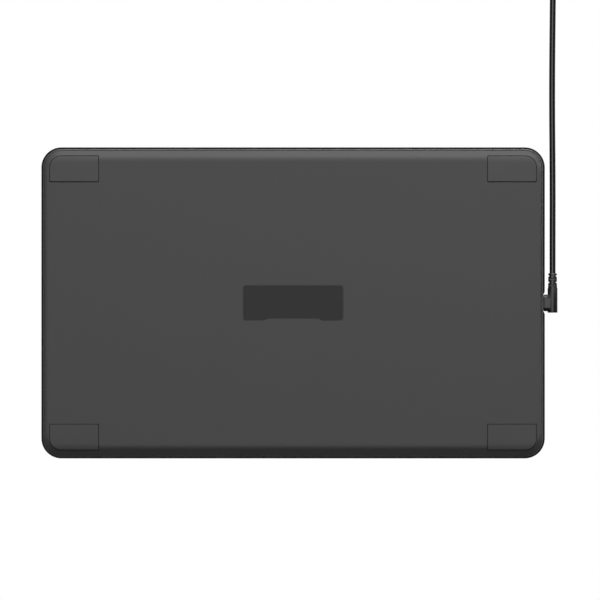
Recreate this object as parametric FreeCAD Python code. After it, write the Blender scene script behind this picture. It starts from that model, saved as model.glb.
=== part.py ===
import FreeCAD, Part
import math
import os
from FreeCAD import Vector

# A thin pen tablet that lies on its four corner feet, drawing surface up, with its cable plugged in.
# The frame's origin is on the desk under the middle of the case, X along the long side, Y to the far
# edge. The socket and the keys are on the left, at -X. All sizes are in millimetres.

# Case as a whole
case_length = 351.8
case_width = 217.4
case_height = 8.6
case_corner_radius = 14.0
foot_proud = 0.5
seam_inset = 2.1
seam_gap = 0.25
seam_depth = 0.9

# Front cover
plate_thickness = 1.4
skirt_wall = 3.6
skirt_land = 0.25
skirt_drop = 0.1
skirt_chamfer_rise = 0.8
skirt_chamfer_inset = 1.0
skirt_curve_rise = 3.0
top_edge_chamfer = 0.7
frame_rib_wall = 1.0
frame_rib_height = 2.0

# Rear cover
rear_wall = 1.5
rear_rim_wall = 2.5
roll_along_x = 3.5
roll_along_y = 8.4
roll_rise = 2.7
roll_straight_share = 0.38
roll_side_fullness = 2.2
roll_strip_count = 4
flats_per_corner = 4
lip_wall = 1.1
lip_height = 1.2
lip_clearance = 0.15
rear_rib_wall = 1.0
rear_rib_height = 2.2
rear_rib_step_y = 44.0
rear_rib_step_x = 50.0
cross_rib_drop = 0.6

# Snap hooks on the lip and their pockets in the front cover
hook_length = 8.0
hook_reach = 0.5
hook_height = 0.6
hook_play = 0.25
hook_step_long = 75.0
hook_step_short = 90.0

# Corner feet in their pockets
foot_length = 33.8
foot_width = 17.7
foot_edge_distance = 6.15
foot_pocket_depth = 0.6
foot_gap = 0.4

# Plate in its recess, with a shallow notch in the near edge
label_length = 70.2
label_width = 24.7
label_radius = 2.4
label_thickness = 0.3
label_recess_depth = 0.4
label_gap = 0.15
label_notch_mouth = 41.6
label_notch_end = 36.0
label_notch_depth = 1.4

# Drawing surface and what lies under it
active_left_margin = 69.9
active_right_margin = 27.9
active_edge_margin = 29.3
film_thickness = 0.3
film_edge_distance = 8.0
film_left_margin = 22.0
film_radius = 6.0
film_gap = 0.1
sensor_margin = 6.0
sensor_thickness = 1.0
sensor_gap = 0.3
shield_thickness = 0.3
shield_inset = 1.0
foam_width = 8.0
foam_end_distance = 12.0

# Main board
board_edge_distance = 7.4
board_flex_room = 17.7
board_end_gap = 7.25
board_thickness = 1.0
board_lift = 0.4
board_boss_radius = 2.5
port_tab_reach = 2.2
port_tab_half_width = 6.5
port_bay_play = 0.3

# Shortcut keys and their switches
key_length = 15.0
key_width = 8.0
key_corner_cut = 1.4
key_edge_distance = 22.9
key_pitch = 13.0
key_first = 25.0
keys_per_group = 4
key_proud = 0.3
key_gap = 0.2
key_travel = 0.5
key_edge_chamfer = 0.3
key_flange = 0.8
key_flange_thickness = 0.6
key_flange_play = 0.1
key_post_size = 3.2
key_post_length = 0.6
switch_size = 5.2
switch_height = 1.5
plunger_radius = 1.3
plunger_play = 0.15
plunger_in_well = 0.5

# Status light
light_radius = 1.0
light_gap = 0.1
light_flange_size = 4.0
light_flange_thickness = 0.6
light_length = 4.0
led_length = 1.6
led_width = 0.8
led_height = 0.6

# Small parts on the boards
chip_size = 7.0
chip_height = 0.9
crystal_length = 3.2
crystal_width = 2.5
crystal_height = 0.7
small_part_length = 2.0
small_part_width = 1.25
small_part_height = 0.9
connector_length = 18.0
connector_depth = 4.0
connector_height = 1.2
flex_width = 16.0
flex_thickness = 0.2
flex_straight = 3.0

# Screws
case_screw_edge_x = 17.9
case_screw_edge_y = 14.2
case_screw_radius = 1.0
case_screw_play = 0.05
case_screw_head_radius = 1.9
case_screw_head_height = 1.1
case_screw_head_play = 0.2
case_screw_length = 4.0
case_screw_seat = 0.2
rear_boss_radius = 3.25
front_boss_radius = 2.75
board_screw_radius = 0.8
board_screw_head_radius = 1.7
board_screw_head_height = 0.9
board_screw_length = 2.0
board_screw_play = 0.1

# USB-C socket
socket_width = 8.34
socket_height = 2.56
socket_wall = 0.3
socket_length = 7.3
socket_recess = 0.45
socket_slot_gap = 0.18
tongue_width = 6.69
tongue_thickness = 0.7
tongue_length = 4.45
tongue_base = 0.75
tongue_play = 0.03
socket_leg_width = 0.9
socket_leg_depth = 0.8
socket_leg_step = 2.0
socket_leg_play = 0.1

# Notch in the case round the socket
notch_depth = 1.05
notch_half_floor = 5.85
notch_half_mouth = 7.8

# USB-C plug with its housing across the cord
plug_width = 8.25
plug_height = 2.4
plug_wall = 0.28
plug_length = 6.65
plug_core_play = 0.03
plug_core_setback = 0.1
plug_slot_width = 6.9
plug_slot_height = 0.85
plug_slot_depth = 4.65
plug_case_gap = 0.1
nose_width = 11.6
nose_height = 6.2
nose_radius = 2.4
nose_reach = 6.3
barrel_radius = 3.45
barrel_below = 6.85
barrel_above = 10.4
barrel_chamfer = 0.5
relief_length = 10.3
relief_root_radius = 3.15
relief_tip_radius = 3.0
relief_side_count = 12
relief_notch_first = 1.15
relief_notch_step = 2.253
relief_notch_width = 1.0
relief_notch_depth = 0.9
relief_notch_count = 4

# Cord, drawn with flat sides that lie a little inside its round outline
cord_radius = 2.1
cord_side_count = 4
cord_flat = 1.9

# Coil of the put-away length: in and out again in two layers
coil_outer_radius = 33.0
coil_pitch = 4.4
coil_layer_rise = 4.4
coil_turn_count = 7.25
coil_turn_count_in = 3.5

# USB-A plug
usb_a_relief_length = 10.0
usb_a_relief_root_radius = 3.4
usb_a_relief_tip_radius = 2.8
usb_a_housing_length = 27.0
usb_a_housing_width = 15.6
usb_a_housing_height = 8.0
usb_a_housing_radius = 2.0
usb_a_housing_chamfer = 1.0
usb_a_shell_length = 12.0
usb_a_shell_width = 12.0
usb_a_shell_height = 4.5
usb_a_shell_wall = 0.3
usb_a_window_size = 2.2
usb_a_window_spread = 2.9
usb_a_window_back = 4.5
usb_a_core_thickness = 1.8
usb_a_core_setback = 0.4

tiny = 1e-6
along_x, along_y, along_z = Vector(1, 0, 0), Vector(0, 1, 0), Vector(0, 0, 1)

# Heights above the desk, from the feet up
rear_bottom = foot_proud
rear_inside = rear_bottom + rear_wall
roll_top = rear_bottom + roll_rise
skirt_bottom = roll_top - skirt_drop
rim_top = skirt_bottom + seam_depth
lip_top = rim_top + lip_height
hook_bottom = rim_top + (lip_height - hook_height) / 2
plate_bottom = case_height - plate_thickness
film_bottom = case_height - film_thickness
sensor_bottom = plate_bottom - sensor_thickness
shield_bottom = sensor_bottom - shield_thickness
rear_rib_top = rear_inside + rear_rib_height
board_bottom = rear_inside + board_lift
board_top = board_bottom + board_thickness
socket_z = board_top + socket_wall + socket_height / 2
key_top = case_height + key_proud
flange_top = plate_bottom - key_flange_play
flange_bottom = flange_top - key_flange_thickness
plunger_top = flange_bottom - key_post_length
switch_top = board_top + switch_height
plunger_bottom = switch_top - plunger_in_well
well_bottom = plunger_bottom - key_travel - led_height / 10
case_screw_seat_z = rear_bottom + foot_pocket_depth + case_screw_seat + case_screw_head_height

# Places in plan
half_length = case_length / 2
half_width = case_width / 2
rear_inset = seam_inset + seam_gap
rim_inner_inset = rear_inset + rear_rim_wall
lip_inset = skirt_wall + lip_clearance
key_x = -half_length + key_edge_distance
active_right = half_length - active_right_margin
active_left = active_left_margin - half_length
sensor_centre_x = (active_right + active_left) / 2
sensor_half_x = (active_right - active_left) / 2 + sensor_margin
sensor_half_y = half_width - active_edge_margin + sensor_margin
sensor_left = sensor_centre_x - sensor_half_x
film_right = half_length - film_edge_distance
film_left = active_left - film_left_margin
film_half_x = (film_right - film_left) / 2
film_half_y = half_width - film_edge_distance
film_centre_x = (film_right + film_left) / 2
board_left = -half_length + board_edge_distance
board_right = sensor_left - sensor_gap - frame_rib_wall - board_flex_room
notch_x = -half_length + notch_depth
socket_mouth_x = notch_x + socket_recess
socket_back_x = socket_mouth_x + socket_length
plug_root_x = notch_x - plug_case_gap
plug_tip_x = plug_root_x + plug_length
cord_x = plug_root_x - nose_reach
relief_end_y = barrel_above + relief_length
case_screw_x = half_length - case_screw_edge_x
case_screw_y = half_width - case_screw_edge_y
board_half_width = case_screw_y - rear_boss_radius - board_end_gap

# The cord's route from the strain relief's end: aside, along and above the desk
cord_route = [
    (0.0, 0.0, socket_z),
    (0.0, 22.0, socket_z),
    (0.0, 66.0, cord_radius),
    (0.5, 124.0, cord_radius),
    (0.0, 182.0, cord_radius),
    (0.0, 227.0, cord_radius),
]

# The tail's route from the coil's end to the USB-A plug: along, aside and above the desk
tail_route = [
    (0.0, 0.0, cord_radius + coil_layer_rise),
    (13.0, 0.0, cord_radius + coil_layer_rise),
    (37.0, -1.5, usb_a_housing_height / 2),
    (50.0, -1.5, usb_a_housing_height / 2),
]

shapes = {}


# Basic forms

# Corners are arcs, or a few flats where a piece repeats
def rounded_wire(centre, u_axis, v_axis, half_u, half_v, radii, flats=0):
    edges, first, last = [], None, None
    corners = ((1, 1), (-1, 1), (-1, -1), (1, -1))
    for quarter, (side_u, side_v) in enumerate(corners):
        radius = min(radii[quarter], half_u, half_v)
        steps = (flats or 2) if radius > tiny else 0
        points = []
        for step in range(steps + 1):
            angle = math.radians(90 * (quarter + step / max(steps, 1)))
            u = side_u * (half_u - radius) + radius * math.cos(angle)
            v = side_v * (half_v - radius) + radius * math.sin(angle)
            points.append(centre + u_axis * u + v_axis * v)
        if last is not None and (points[0] - last).Length > tiny:
            edges.append(Part.LineSegment(last, points[0]).toShape())
        if flats:
            edges += [Part.LineSegment(a, b).toShape() for a, b in zip(points, points[1:])]
        elif steps:
            edges.append(Part.Arc(*points).toShape())
        first = first or points[0]
        last = points[-1]
    if (first - last).Length > tiny:
        edges.append(Part.LineSegment(last, first).toShape())
    return Part.Wire(edges)


def plate(half_x, half_y, radii, bottom, top, x=0.0, y=0.0, flats=0):
    if not isinstance(radii, list):
        radii = [radii] * 4
    outline = rounded_wire(Vector(x, y, bottom), along_x, along_y, half_x, half_y, radii, flats)
    return Part.Face(outline).extrude(along_z * (top - bottom))


def bar_along_x(half_y, half_z, radius, start, end, y, z, flats=flats_per_corner):
    outline = rounded_wire(Vector(start, y, z), along_y, along_z, half_y, half_z, [radius] * 4,
                           flats)
    return Part.Face(outline).extrude(along_x * (end - start))


def block(x_low, x_high, y_low, y_high, z_low, z_high):
    size = (x_high - x_low, y_high - y_low, z_high - z_low)
    return Part.makeBox(*size, Vector(x_low, y_low, z_low))


def block_at(x, y, size_x, size_y, bottom, top):
    return block(x - size_x / 2, x + size_x / 2, y - size_y / 2, y + size_y / 2, bottom, top)


def polygon_face(points):
    return Part.Face(Part.makePolygon(points + points[:1]))


def prism(points, bottom, top):
    return polygon_face([Vector(x, y, bottom) for x, y in points]).extrude(along_z * (top - bottom))


def cut_corner_slab(half_x, half_y, cut, bottom, top, x, y):
    points = []
    for side_x, side_y in ((1, 1), (-1, 1), (-1, -1), (1, -1)):
        pair = [(side_x * half_x, side_y * (half_y - cut)), (side_x * (half_x - cut), side_y * half_y)]
        points += pair if side_x * side_y > 0 else pair[::-1]
    return prism([(x + u, y + v) for u, v in points], bottom, top)


# A boss, shank or hole with flat sides
def inner_peg(x, y, radius, bottom, top, sides=8):
    corner = radius / math.cos(math.pi / sides)
    angles = [math.pi * (2 * side + 1) / sides for side in range(sides)]
    return prism([(x + corner * math.cos(a), y + corner * math.sin(a)) for a in angles], bottom, top)


def case_wire(inset_x, inset_y, height, flats=0):
    radii = [case_corner_radius - inset_x] * 4
    half_x, half_y = half_length - inset_x, half_width - inset_y
    return rounded_wire(Vector(0, 0, height), along_x, along_y, half_x, half_y, radii, flats)


def case_slab(inset, bottom, top, flats=0):
    return Part.Face(case_wire(inset, inset, bottom, flats)).extrude(along_z * (top - bottom))


# Share of the roll's drop at a share of its width: a straight slope that eases into the flat
def roll_drop(across):
    easing = 1 - roll_straight_share
    eased = max(0.0, across - roll_straight_share) / easing
    curve = eased / 2 + math.sin(math.pi * eased) / (2 * math.pi)
    return (min(across, roll_straight_share) + easing * curve) / (roll_straight_share + easing / 2)


# A tray whose wall slopes and rolls into its floor, in one strip or in a slope and narrow strips.
# At the short edges the roll is fuller, so that the wall stands steeper at the rim.
def rolled_tray(rim_inset, roll_x, roll_y, floor, rim, strips, flats=0):
    shares = [0.0, 1.0]
    if strips > 1:
        step = (1 - roll_straight_share) / (strips - 1)
        shares = [0.0] + [roll_straight_share + step * number for number in range(strips)]
    wires = []
    for share in reversed(shares):
        height = rim - (rim - floor) * roll_drop(share)
        inset_x = rim_inset + roll_x * share ** roll_side_fullness
        wires.append(case_wire(inset_x, rim_inset + roll_y * share, height, flats))
    return Part.makeLoft(wires, True, True)


def joined(solids):
    return solids[0].multiFuse(solids[1:]).removeSplitter()


def raised(shape, height):
    return shape.translated(along_z * height)


def keep(name, shape):
    solids = shape.Solids
    shapes[name] = solids[0] if len(solids) == 1 else Part.makeCompound(solids)


def corners_of(x, y):
    return [(x * side_x, y * side_y) for side_x in (-1, 1) for side_y in (-1, 1)]


def key_places():
    places = []
    for side in (1, -1):
        distances = [key_first + key_pitch * step for step in range(keys_per_group)]
        for distance in sorted(distances, reverse=side == 1):
            places.append((key_x, side * distance))
    return places


def board_screw_places():
    inner_x = board_left + board_boss_radius * 2.6
    outer_x = board_right - board_boss_radius * 3.2
    far_y = board_half_width - board_boss_radius * 2.4
    return [(inner_x, port_tab_half_width * 2), (outer_x, far_y), (outer_x, -far_y)]


# Along each edge of the case: middle of the hook, the direction along the edge and the one outwards
def hook_places():
    places = []
    for step in (-1.5, -0.5, 0.5, 1.5):
        for side in (-1, 1):
            places.append((step * hook_step_long, side * half_width, along_x, along_y * side))
    for step in (-0.5, 0.5):
        for side in (-1, 1):
            places.append((side * half_length, step * hook_step_short, along_y, along_x * side))
    return places


def edge_block(place, length, outer_inset, inner_inset, bottom, top):
    x, y, along, outwards = place
    middle = Vector(x, y, 0) - outwards * ((outer_inset + inner_inset) / 2)
    deep = inner_inset - outer_inset
    size_x = length if along == along_x else deep
    size_y = deep if along == along_x else length
    return block_at(middle.x, middle.y, size_x, size_y, bottom, top)


def socket_slot():
    half_y = socket_width / 2 + socket_wall + socket_slot_gap
    half_z = socket_height / 2 + socket_wall + socket_slot_gap
    return bar_along_x(half_y, half_z, half_z, -half_length - notch_depth,
                       -half_length + rim_inner_inset + notch_depth, 0, socket_z)


# Front cover: a chamfer, a bowed wall and a plate, hollow below

def front_cover():
    chamfer_top = skirt_bottom + skirt_chamfer_rise
    low_inset = seam_inset - skirt_land
    low_wires = [
        case_wire(low_inset, low_inset, skirt_bottom),
        case_wire(skirt_chamfer_inset, skirt_chamfer_inset, chamfer_top),
    ]
    for share in (0.4, 1.0):
        inset = skirt_chamfer_inset * (1 - share) ** 2
        low_wires.append(case_wire(inset, inset, chamfer_top + skirt_curve_rise * share))
    chamfer_bottom = case_height - top_edge_chamfer
    top_wires = [
        case_wire(0, 0, chamfer_bottom),
        case_wire(top_edge_chamfer, top_edge_chamfer, case_height),
    ]
    body = joined([
        Part.makeLoft(low_wires, True, True),
        case_slab(0.0, chamfer_top + skirt_curve_rise, chamfer_bottom),
        Part.makeLoft(top_wires, True, True),
    ])
    body = body.cut(case_slab(skirt_wall, rim_top, plate_bottom, flats_per_corner))
    body = body.cut(case_slab(seam_inset, skirt_bottom - 1, rim_top))

    # Frame rib round the sensor board, open where the flex passes, and the screw bosses
    rib_low = plate_bottom - frame_rib_height
    rib_x, rib_y = sensor_half_x + sensor_gap, sensor_half_y + sensor_gap
    rib = block_at(sensor_centre_x, 0, 2 * (rib_x + frame_rib_wall), 2 * (rib_y + frame_rib_wall),
                   rib_low, plate_bottom)
    rib = rib.cut(block_at(sensor_centre_x, 0, 2 * rib_x, 2 * rib_y, rib_low, plate_bottom))
    rib = rib.cut(block_at(sensor_centre_x - rib_x, 0, 4 * frame_rib_wall,
                           connector_length + 4 * frame_rib_wall, rib_low, plate_bottom))
    bosses = [inner_peg(x, y, front_boss_radius, roll_top, plate_bottom)
              for x, y in corners_of(case_screw_x, case_screw_y)]
    body = body.multiFuse([rib] + bosses)
    cuts = [inner_peg(x, y, case_screw_radius + case_screw_play, roll_top,
                      plate_bottom - frame_rib_wall / 2)
            for x, y in corners_of(case_screw_x, case_screw_y)]

    # Film recess, key holes, light hole, hook pockets, socket slot and the notch round it
    cuts.append(plate(film_half_x + film_gap, film_half_y + film_gap, film_radius + film_gap,
                      film_bottom, case_height + 1, film_centre_x, 0.0, flats_per_corner))
    for x, y in key_places():
        cuts.append(cut_corner_slab(key_length / 2 + key_gap, key_width / 2 + key_gap,
                                    key_corner_cut, plate_bottom, case_height, x, y))
    cuts.append(inner_peg(key_x, 0, light_radius + light_gap, plate_bottom, case_height, 16))
    for place in hook_places():
        cuts.append(edge_block(place, hook_length + 2 * hook_play,
                               lip_inset - hook_reach - hook_play, skirt_wall,
                               hook_bottom - hook_play, hook_bottom + hook_height + hook_play))
    cuts.append(socket_slot())
    slope = (notch_half_mouth - notch_half_floor) / notch_depth
    cuts.append(prism([
        (-half_length - 1, -notch_half_mouth - slope),
        (notch_x, -notch_half_floor),
        (notch_x, notch_half_floor),
        (-half_length - 1, notch_half_mouth + slope),
    ], 0, case_height + 1))
    for tool in cuts:
        body = body.cut(tool)
    keep("front_cover", body)


# Rear cover: a rolled tray with a rim, a lip with hooks, ribs, bosses, foot pockets and a recess

def rear_cover():
    inside_roll_x = rear_inset + roll_along_x + rear_wall - rim_inner_inset
    inside_roll_y = rear_inset + roll_along_y + rear_wall - rim_inner_inset
    body = joined([
        rear_outside(),
        case_slab(rear_inset, roll_top, rim_top),
        case_slab(lip_inset, rim_top, lip_top, flats_per_corner),
    ])
    body = body.cut(rolled_tray(rim_inner_inset, inside_roll_x, inside_roll_y,
                                rear_inside, roll_top, 1, flats_per_corner))
    body = body.cut(case_slab(rim_inner_inset, roll_top, lip_top + 1, flats_per_corner))
    hooks = [edge_block(place, hook_length, lip_inset - hook_reach, lip_inset + lip_wall / 2,
                        hook_bottom, hook_bottom + hook_height) for place in hook_places()]
    body = body.multiFuse(hooks + rear_ribs() + rear_bosses())

    cuts = [socket_slot(), port_bay()]
    cuts.append(label_form(label_gap, rear_bottom - 1, rear_bottom + label_recess_depth))
    for _, x, y, radii in foot_places():
        cuts.append(foot_pocket(x, y, radii))
    for x, y in corners_of(case_screw_x, case_screw_y):
        cuts.append(inner_peg(x, y, case_screw_head_radius + case_screw_head_play,
                              rear_bottom, case_screw_seat_z))
        cuts.append(inner_peg(x, y, case_screw_radius + case_screw_play, rear_bottom, roll_top))
    for x, y in board_screw_places():
        cuts.append(inner_peg(x, y, board_screw_radius + board_screw_play,
                              board_top - board_screw_length - board_screw_play, board_bottom))
    for tool in cuts:
        body = body.cut(tool)
    keep("rear_cover", body)


def rear_outside(flats=0):
    return rolled_tray(rear_inset, roll_along_x, roll_along_y, rear_bottom, roll_top,
                       roll_strip_count, flats)


def rib_rows():
    return [rear_rib_step_y * step for step in (-1.5, -0.5, 0.5, 1.5)]


def rear_ribs():
    left, right = active_left + rear_rib_wall, active_right + sensor_margin / 2
    low = rear_inside - rear_wall / 4
    half = rear_rib_wall / 2
    ribs = [block(left, right, y - half, y + half, low, rear_rib_top) for y in rib_rows()]
    reach = rear_rib_step_y * 1.8
    for step in range(int((right - left) / rear_rib_step_x) + 1):
        x = left + rear_rib_wall + rear_rib_step_x * step
        ribs.append(block(x - half, x + half, -reach, reach, low, rear_rib_top - cross_rib_drop))
    return ribs


def rear_bosses():
    low = rear_inside - rear_wall / 4
    bosses = [inner_peg(x, y, rear_boss_radius, low, roll_top)
              for x, y in corners_of(case_screw_x, case_screw_y)]
    bosses += [inner_peg(x, y, board_boss_radius, low, board_bottom)
               for x, y in board_screw_places()]
    return bosses


# Room in the wall for the board's tab under the socket
def port_bay():
    half = port_tab_half_width + port_bay_play
    return block(board_left - port_tab_reach - port_bay_play, board_left + port_tab_reach,
                 -half, half, board_bottom - port_bay_play, lip_top)


# Corner feet: pads that follow the rolled underside

def foot_places():
    x = half_length - foot_edge_distance - foot_length / 2
    y = half_width - foot_edge_distance - foot_width / 2
    corners = [(1, 1), (-1, 1), (-1, -1), (1, -1)]
    places = []
    for end, side_y in (("rear", 1), ("front", -1)):
        for side, side_x in (("left", -1), ("right", 1)):
            radii = [case_corner_radius - foot_edge_distance if corner == (side_x, side_y) else 0.0
                     for corner in corners]
            places.append((f"foot_{end}_{side}", x * side_x, y * side_y, radii))
    return places


def foot_pocket(x, y, radii):
    outline = plate(foot_length / 2 + foot_gap, foot_width / 2 + foot_gap,
                    [r + foot_gap if r else 0.0 for r in radii], rear_bottom - 1, roll_top, x, y,
                    flats_per_corner)
    return outline.cut(raised(rear_outside(flats_per_corner), foot_pocket_depth))


def feet():
    for name, x, y, radii in foot_places():
        pad = plate(foot_length / 2, foot_width / 2, radii, -1, roll_top - foot_proud, x, y,
                    flats_per_corner)
        pad = pad.common(raised(rear_outside(flats_per_corner), -foot_proud))
        keep(name, pad.cut(raised(rear_outside(flats_per_corner), foot_pocket_depth)))


# Plate with its notch, grown by a margin for its recess

def label_form(margin, bottom, top):
    half_x, half_y = label_length / 2 + margin, label_width / 2 + margin
    form = plate(half_x, half_y, label_radius + margin, bottom, top, 0.0, 0.0, flats_per_corner)
    mouth, end = label_notch_mouth / 2 - margin, label_notch_end / 2 - margin
    slope = (mouth - end) / label_notch_depth
    low, high = -label_width / 2 - 1, -label_width / 2 + label_notch_depth - margin
    return form.cut(prism([(-mouth - slope, low), (mouth + slope, low), (end, high), (-end, high)],
                          bottom, top))


def label_plate():
    top = rear_bottom + label_recess_depth
    keep("label_plate", label_form(0.0, top - label_thickness, top))


# Drawing film, sensor board, shield plate and foam strips

def drawing_stack():
    keep("drawing_film", plate(film_half_x, film_half_y, film_radius,
                               film_bottom, case_height, film_centre_x, 0.0, flats_per_corner))
    keep("sensor_board", block_at(sensor_centre_x, 0, 2 * sensor_half_x, 2 * sensor_half_y,
                                  sensor_bottom, plate_bottom))
    shield = block_at(sensor_centre_x, 0, 2 * (sensor_half_x - shield_inset),
                      2 * (sensor_half_y - shield_inset), shield_bottom, sensor_bottom)
    room = sensor_margin + connector_depth + shield_inset * 2
    shield = shield.cut(block_at(sensor_left, 0, 2 * room, connector_length + shield_inset * 4,
                                 shield_bottom, sensor_bottom))
    keep("shield_plate", shield)
    strips = []
    for y in rib_rows():
        strips.append(block(active_left + foam_end_distance, active_right - foam_end_distance,
                            y - foam_width / 2, y + foam_width / 2, rear_rib_top, shield_bottom))
    keep("foam_strips", Part.makeCompound(strips))


# Main board with what is soldered to it

def main_board():
    board = block(board_left, board_right, -board_half_width, board_half_width,
                  board_bottom, board_top)
    tab = block(board_left - port_tab_reach, board_left,
                -port_tab_half_width, port_tab_half_width, board_bottom, board_top)
    board = joined([board, tab])
    for x, y in board_screw_places():
        board = board.cut(inner_peg(x, y, board_screw_radius + board_screw_play,
                                    board_bottom, board_top))
    for leg in socket_legs(socket_leg_play):
        board = board.cut(leg)
    keep("main_board", board)


def small_parts():
    column = board_right - chip_size
    chip_y = -connector_length / 2 - chip_size * 1.9
    keep("controller_chip", block_at(column, chip_y, chip_size, chip_size,
                                     board_top, board_top + chip_height))
    crystal_y = chip_y - chip_size / 2 - crystal_width * 2.5
    keep("crystal", block_at(column, crystal_y, crystal_length, crystal_width,
                             board_top, board_top + crystal_height))
    step = small_part_width * 2.4
    rows = [(column, crystal_y - step * number) for number in (2, 3, 4)]
    rows += [(column, connector_length / 2 + step * number) for number in (3, 4, 5, 6)]
    rows += [(board_left + small_part_length * 5, side * step * 2) for side in (-1, 1)]
    keep("board_components", Part.makeCompound([
        block_at(x, y, small_part_length, small_part_width, board_top,
                 board_top + small_part_height) for x, y in rows]))
    keep("status_led", block_at(key_x, 0, led_length, led_width, board_top, board_top + led_height))


def light_pipe():
    pipe = inner_peg(key_x, 0, light_radius, case_height - light_length, case_height, 16)
    flange = block_at(key_x, 0, light_flange_size, light_flange_size,
                      plate_bottom - light_flange_thickness, plate_bottom)
    keep("light_pipe", joined([pipe, flange]))


# Flat flex from the board's connector up to the one under the sensor board

def sensor_link():
    low_x = board_right - connector_depth * 1.25
    high_x = sensor_left + sensor_margin
    half = connector_length / 2
    keep("board_connector", block(low_x, low_x + connector_depth, -half, half,
                                  board_top, board_top + connector_height))
    keep("sensor_connector", block(high_x, high_x + connector_depth, -half, half,
                                   sensor_bottom - connector_height, sensor_bottom))
    start = Vector(low_x + connector_depth, -flex_width / 2, board_top + connector_height / 2)
    end = Vector(high_x, -flex_width / 2, sensor_bottom - connector_height / 2)
    points = [start, start + along_x * flex_straight, end - along_x * flex_straight, end]
    lift = along_z * (flex_thickness / 2)
    side = polygon_face([p - lift for p in points] + [p + lift for p in reversed(points)])
    keep("sensor_flex", side.extrude(along_y * flex_width))


# Shortcut keys: a cap under its hole's edge, a post and the switch below

def keys():
    bodies = []
    for number, (x, y) in enumerate(key_places(), 1):
        cap = cut_corner_slab(key_length / 2, key_width / 2, key_corner_cut, flange_top, key_top, x, y)
        top_edges = [e for e in cap.Edges if e.BoundBox.ZMin > key_top - key_edge_chamfer / 2]
        cap = cap.makeChamfer(key_edge_chamfer, top_edges)
        flange = block_at(x, y, key_length + 2 * key_flange, key_width + 2 * key_flange,
                          flange_bottom, flange_top)
        post = block_at(x, y, key_post_size, key_post_size, plunger_top, flange_bottom)
        keep(f"keycap_{number}", joined([cap, flange, post]))
        keep(f"switch_plunger_{number}", inner_peg(x, y, plunger_radius,
                                                   plunger_bottom, plunger_top))
        body = block_at(x, y, switch_size, switch_size, board_top, switch_top)
        bodies.append(body.cut(inner_peg(x, y, plunger_radius + plunger_play,
                                         well_bottom, switch_top)))
    keep("key_switch_bodies", Part.makeCompound(bodies))


# Screws: a head and a plain shank

def screw(x, y, radius, head_radius, head_height, length, seat, way):
    head = sorted((seat, seat - way * head_height))
    shank = sorted((seat, seat + way * length))
    return joined([inner_peg(x, y, head_radius, *head), inner_peg(x, y, radius, *shank)])


def screws():
    keep("case_screws", Part.makeCompound([
        screw(x, y, case_screw_radius, case_screw_head_radius, case_screw_head_height,
              case_screw_length, case_screw_seat_z, 1)
        for x, y in corners_of(case_screw_x, case_screw_y)]))
    keep("board_screws", Part.makeCompound([
        screw(x, y, board_screw_radius, board_screw_head_radius, board_screw_head_height,
              board_screw_length, board_top, -1)
        for x, y in board_screw_places()]))


# USB-C socket: a rounded metal tube closed at the back, and the tongue on its base

def socket():
    half_w, half_h = socket_width / 2, socket_height / 2
    outer = bar_along_x(half_w + socket_wall, half_h + socket_wall, half_h + socket_wall,
                        socket_mouth_x, socket_back_x, 0, socket_z)
    base_end = socket_back_x - socket_wall
    hollow = bar_along_x(half_w, half_h, half_h, socket_mouth_x, base_end, 0, socket_z)
    keep("usb_c_receptacle_shell", joined([outer] + socket_legs(0.0)).cut(hollow))
    base = bar_along_x(half_w - tongue_play, half_h - tongue_play, half_h - tongue_play,
                       base_end - tongue_base, base_end, 0, socket_z)
    tongue = block(base_end - tongue_base - tongue_length, base_end - tongue_base,
                   -tongue_width / 2, tongue_width / 2,
                   socket_z - tongue_thickness / 2, socket_z + tongue_thickness / 2)
    keep("usb_c_receptacle_tongue", joined([base, tongue]))


def socket_legs(play):
    legs = []
    for step in (0, 1):
        x = socket_back_x - socket_leg_width - socket_leg_step * step
        for side in (-1, 1):
            y = side * (socket_width + socket_wall) / 2
            legs.append(block_at(x, y, socket_leg_width + 2 * play, socket_wall + 2 * play,
                                 board_top - socket_leg_depth - play, socket_z))
    return legs


# USB-C plug: metal shell and core, housing across the cord, ribbed strain relief

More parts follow.
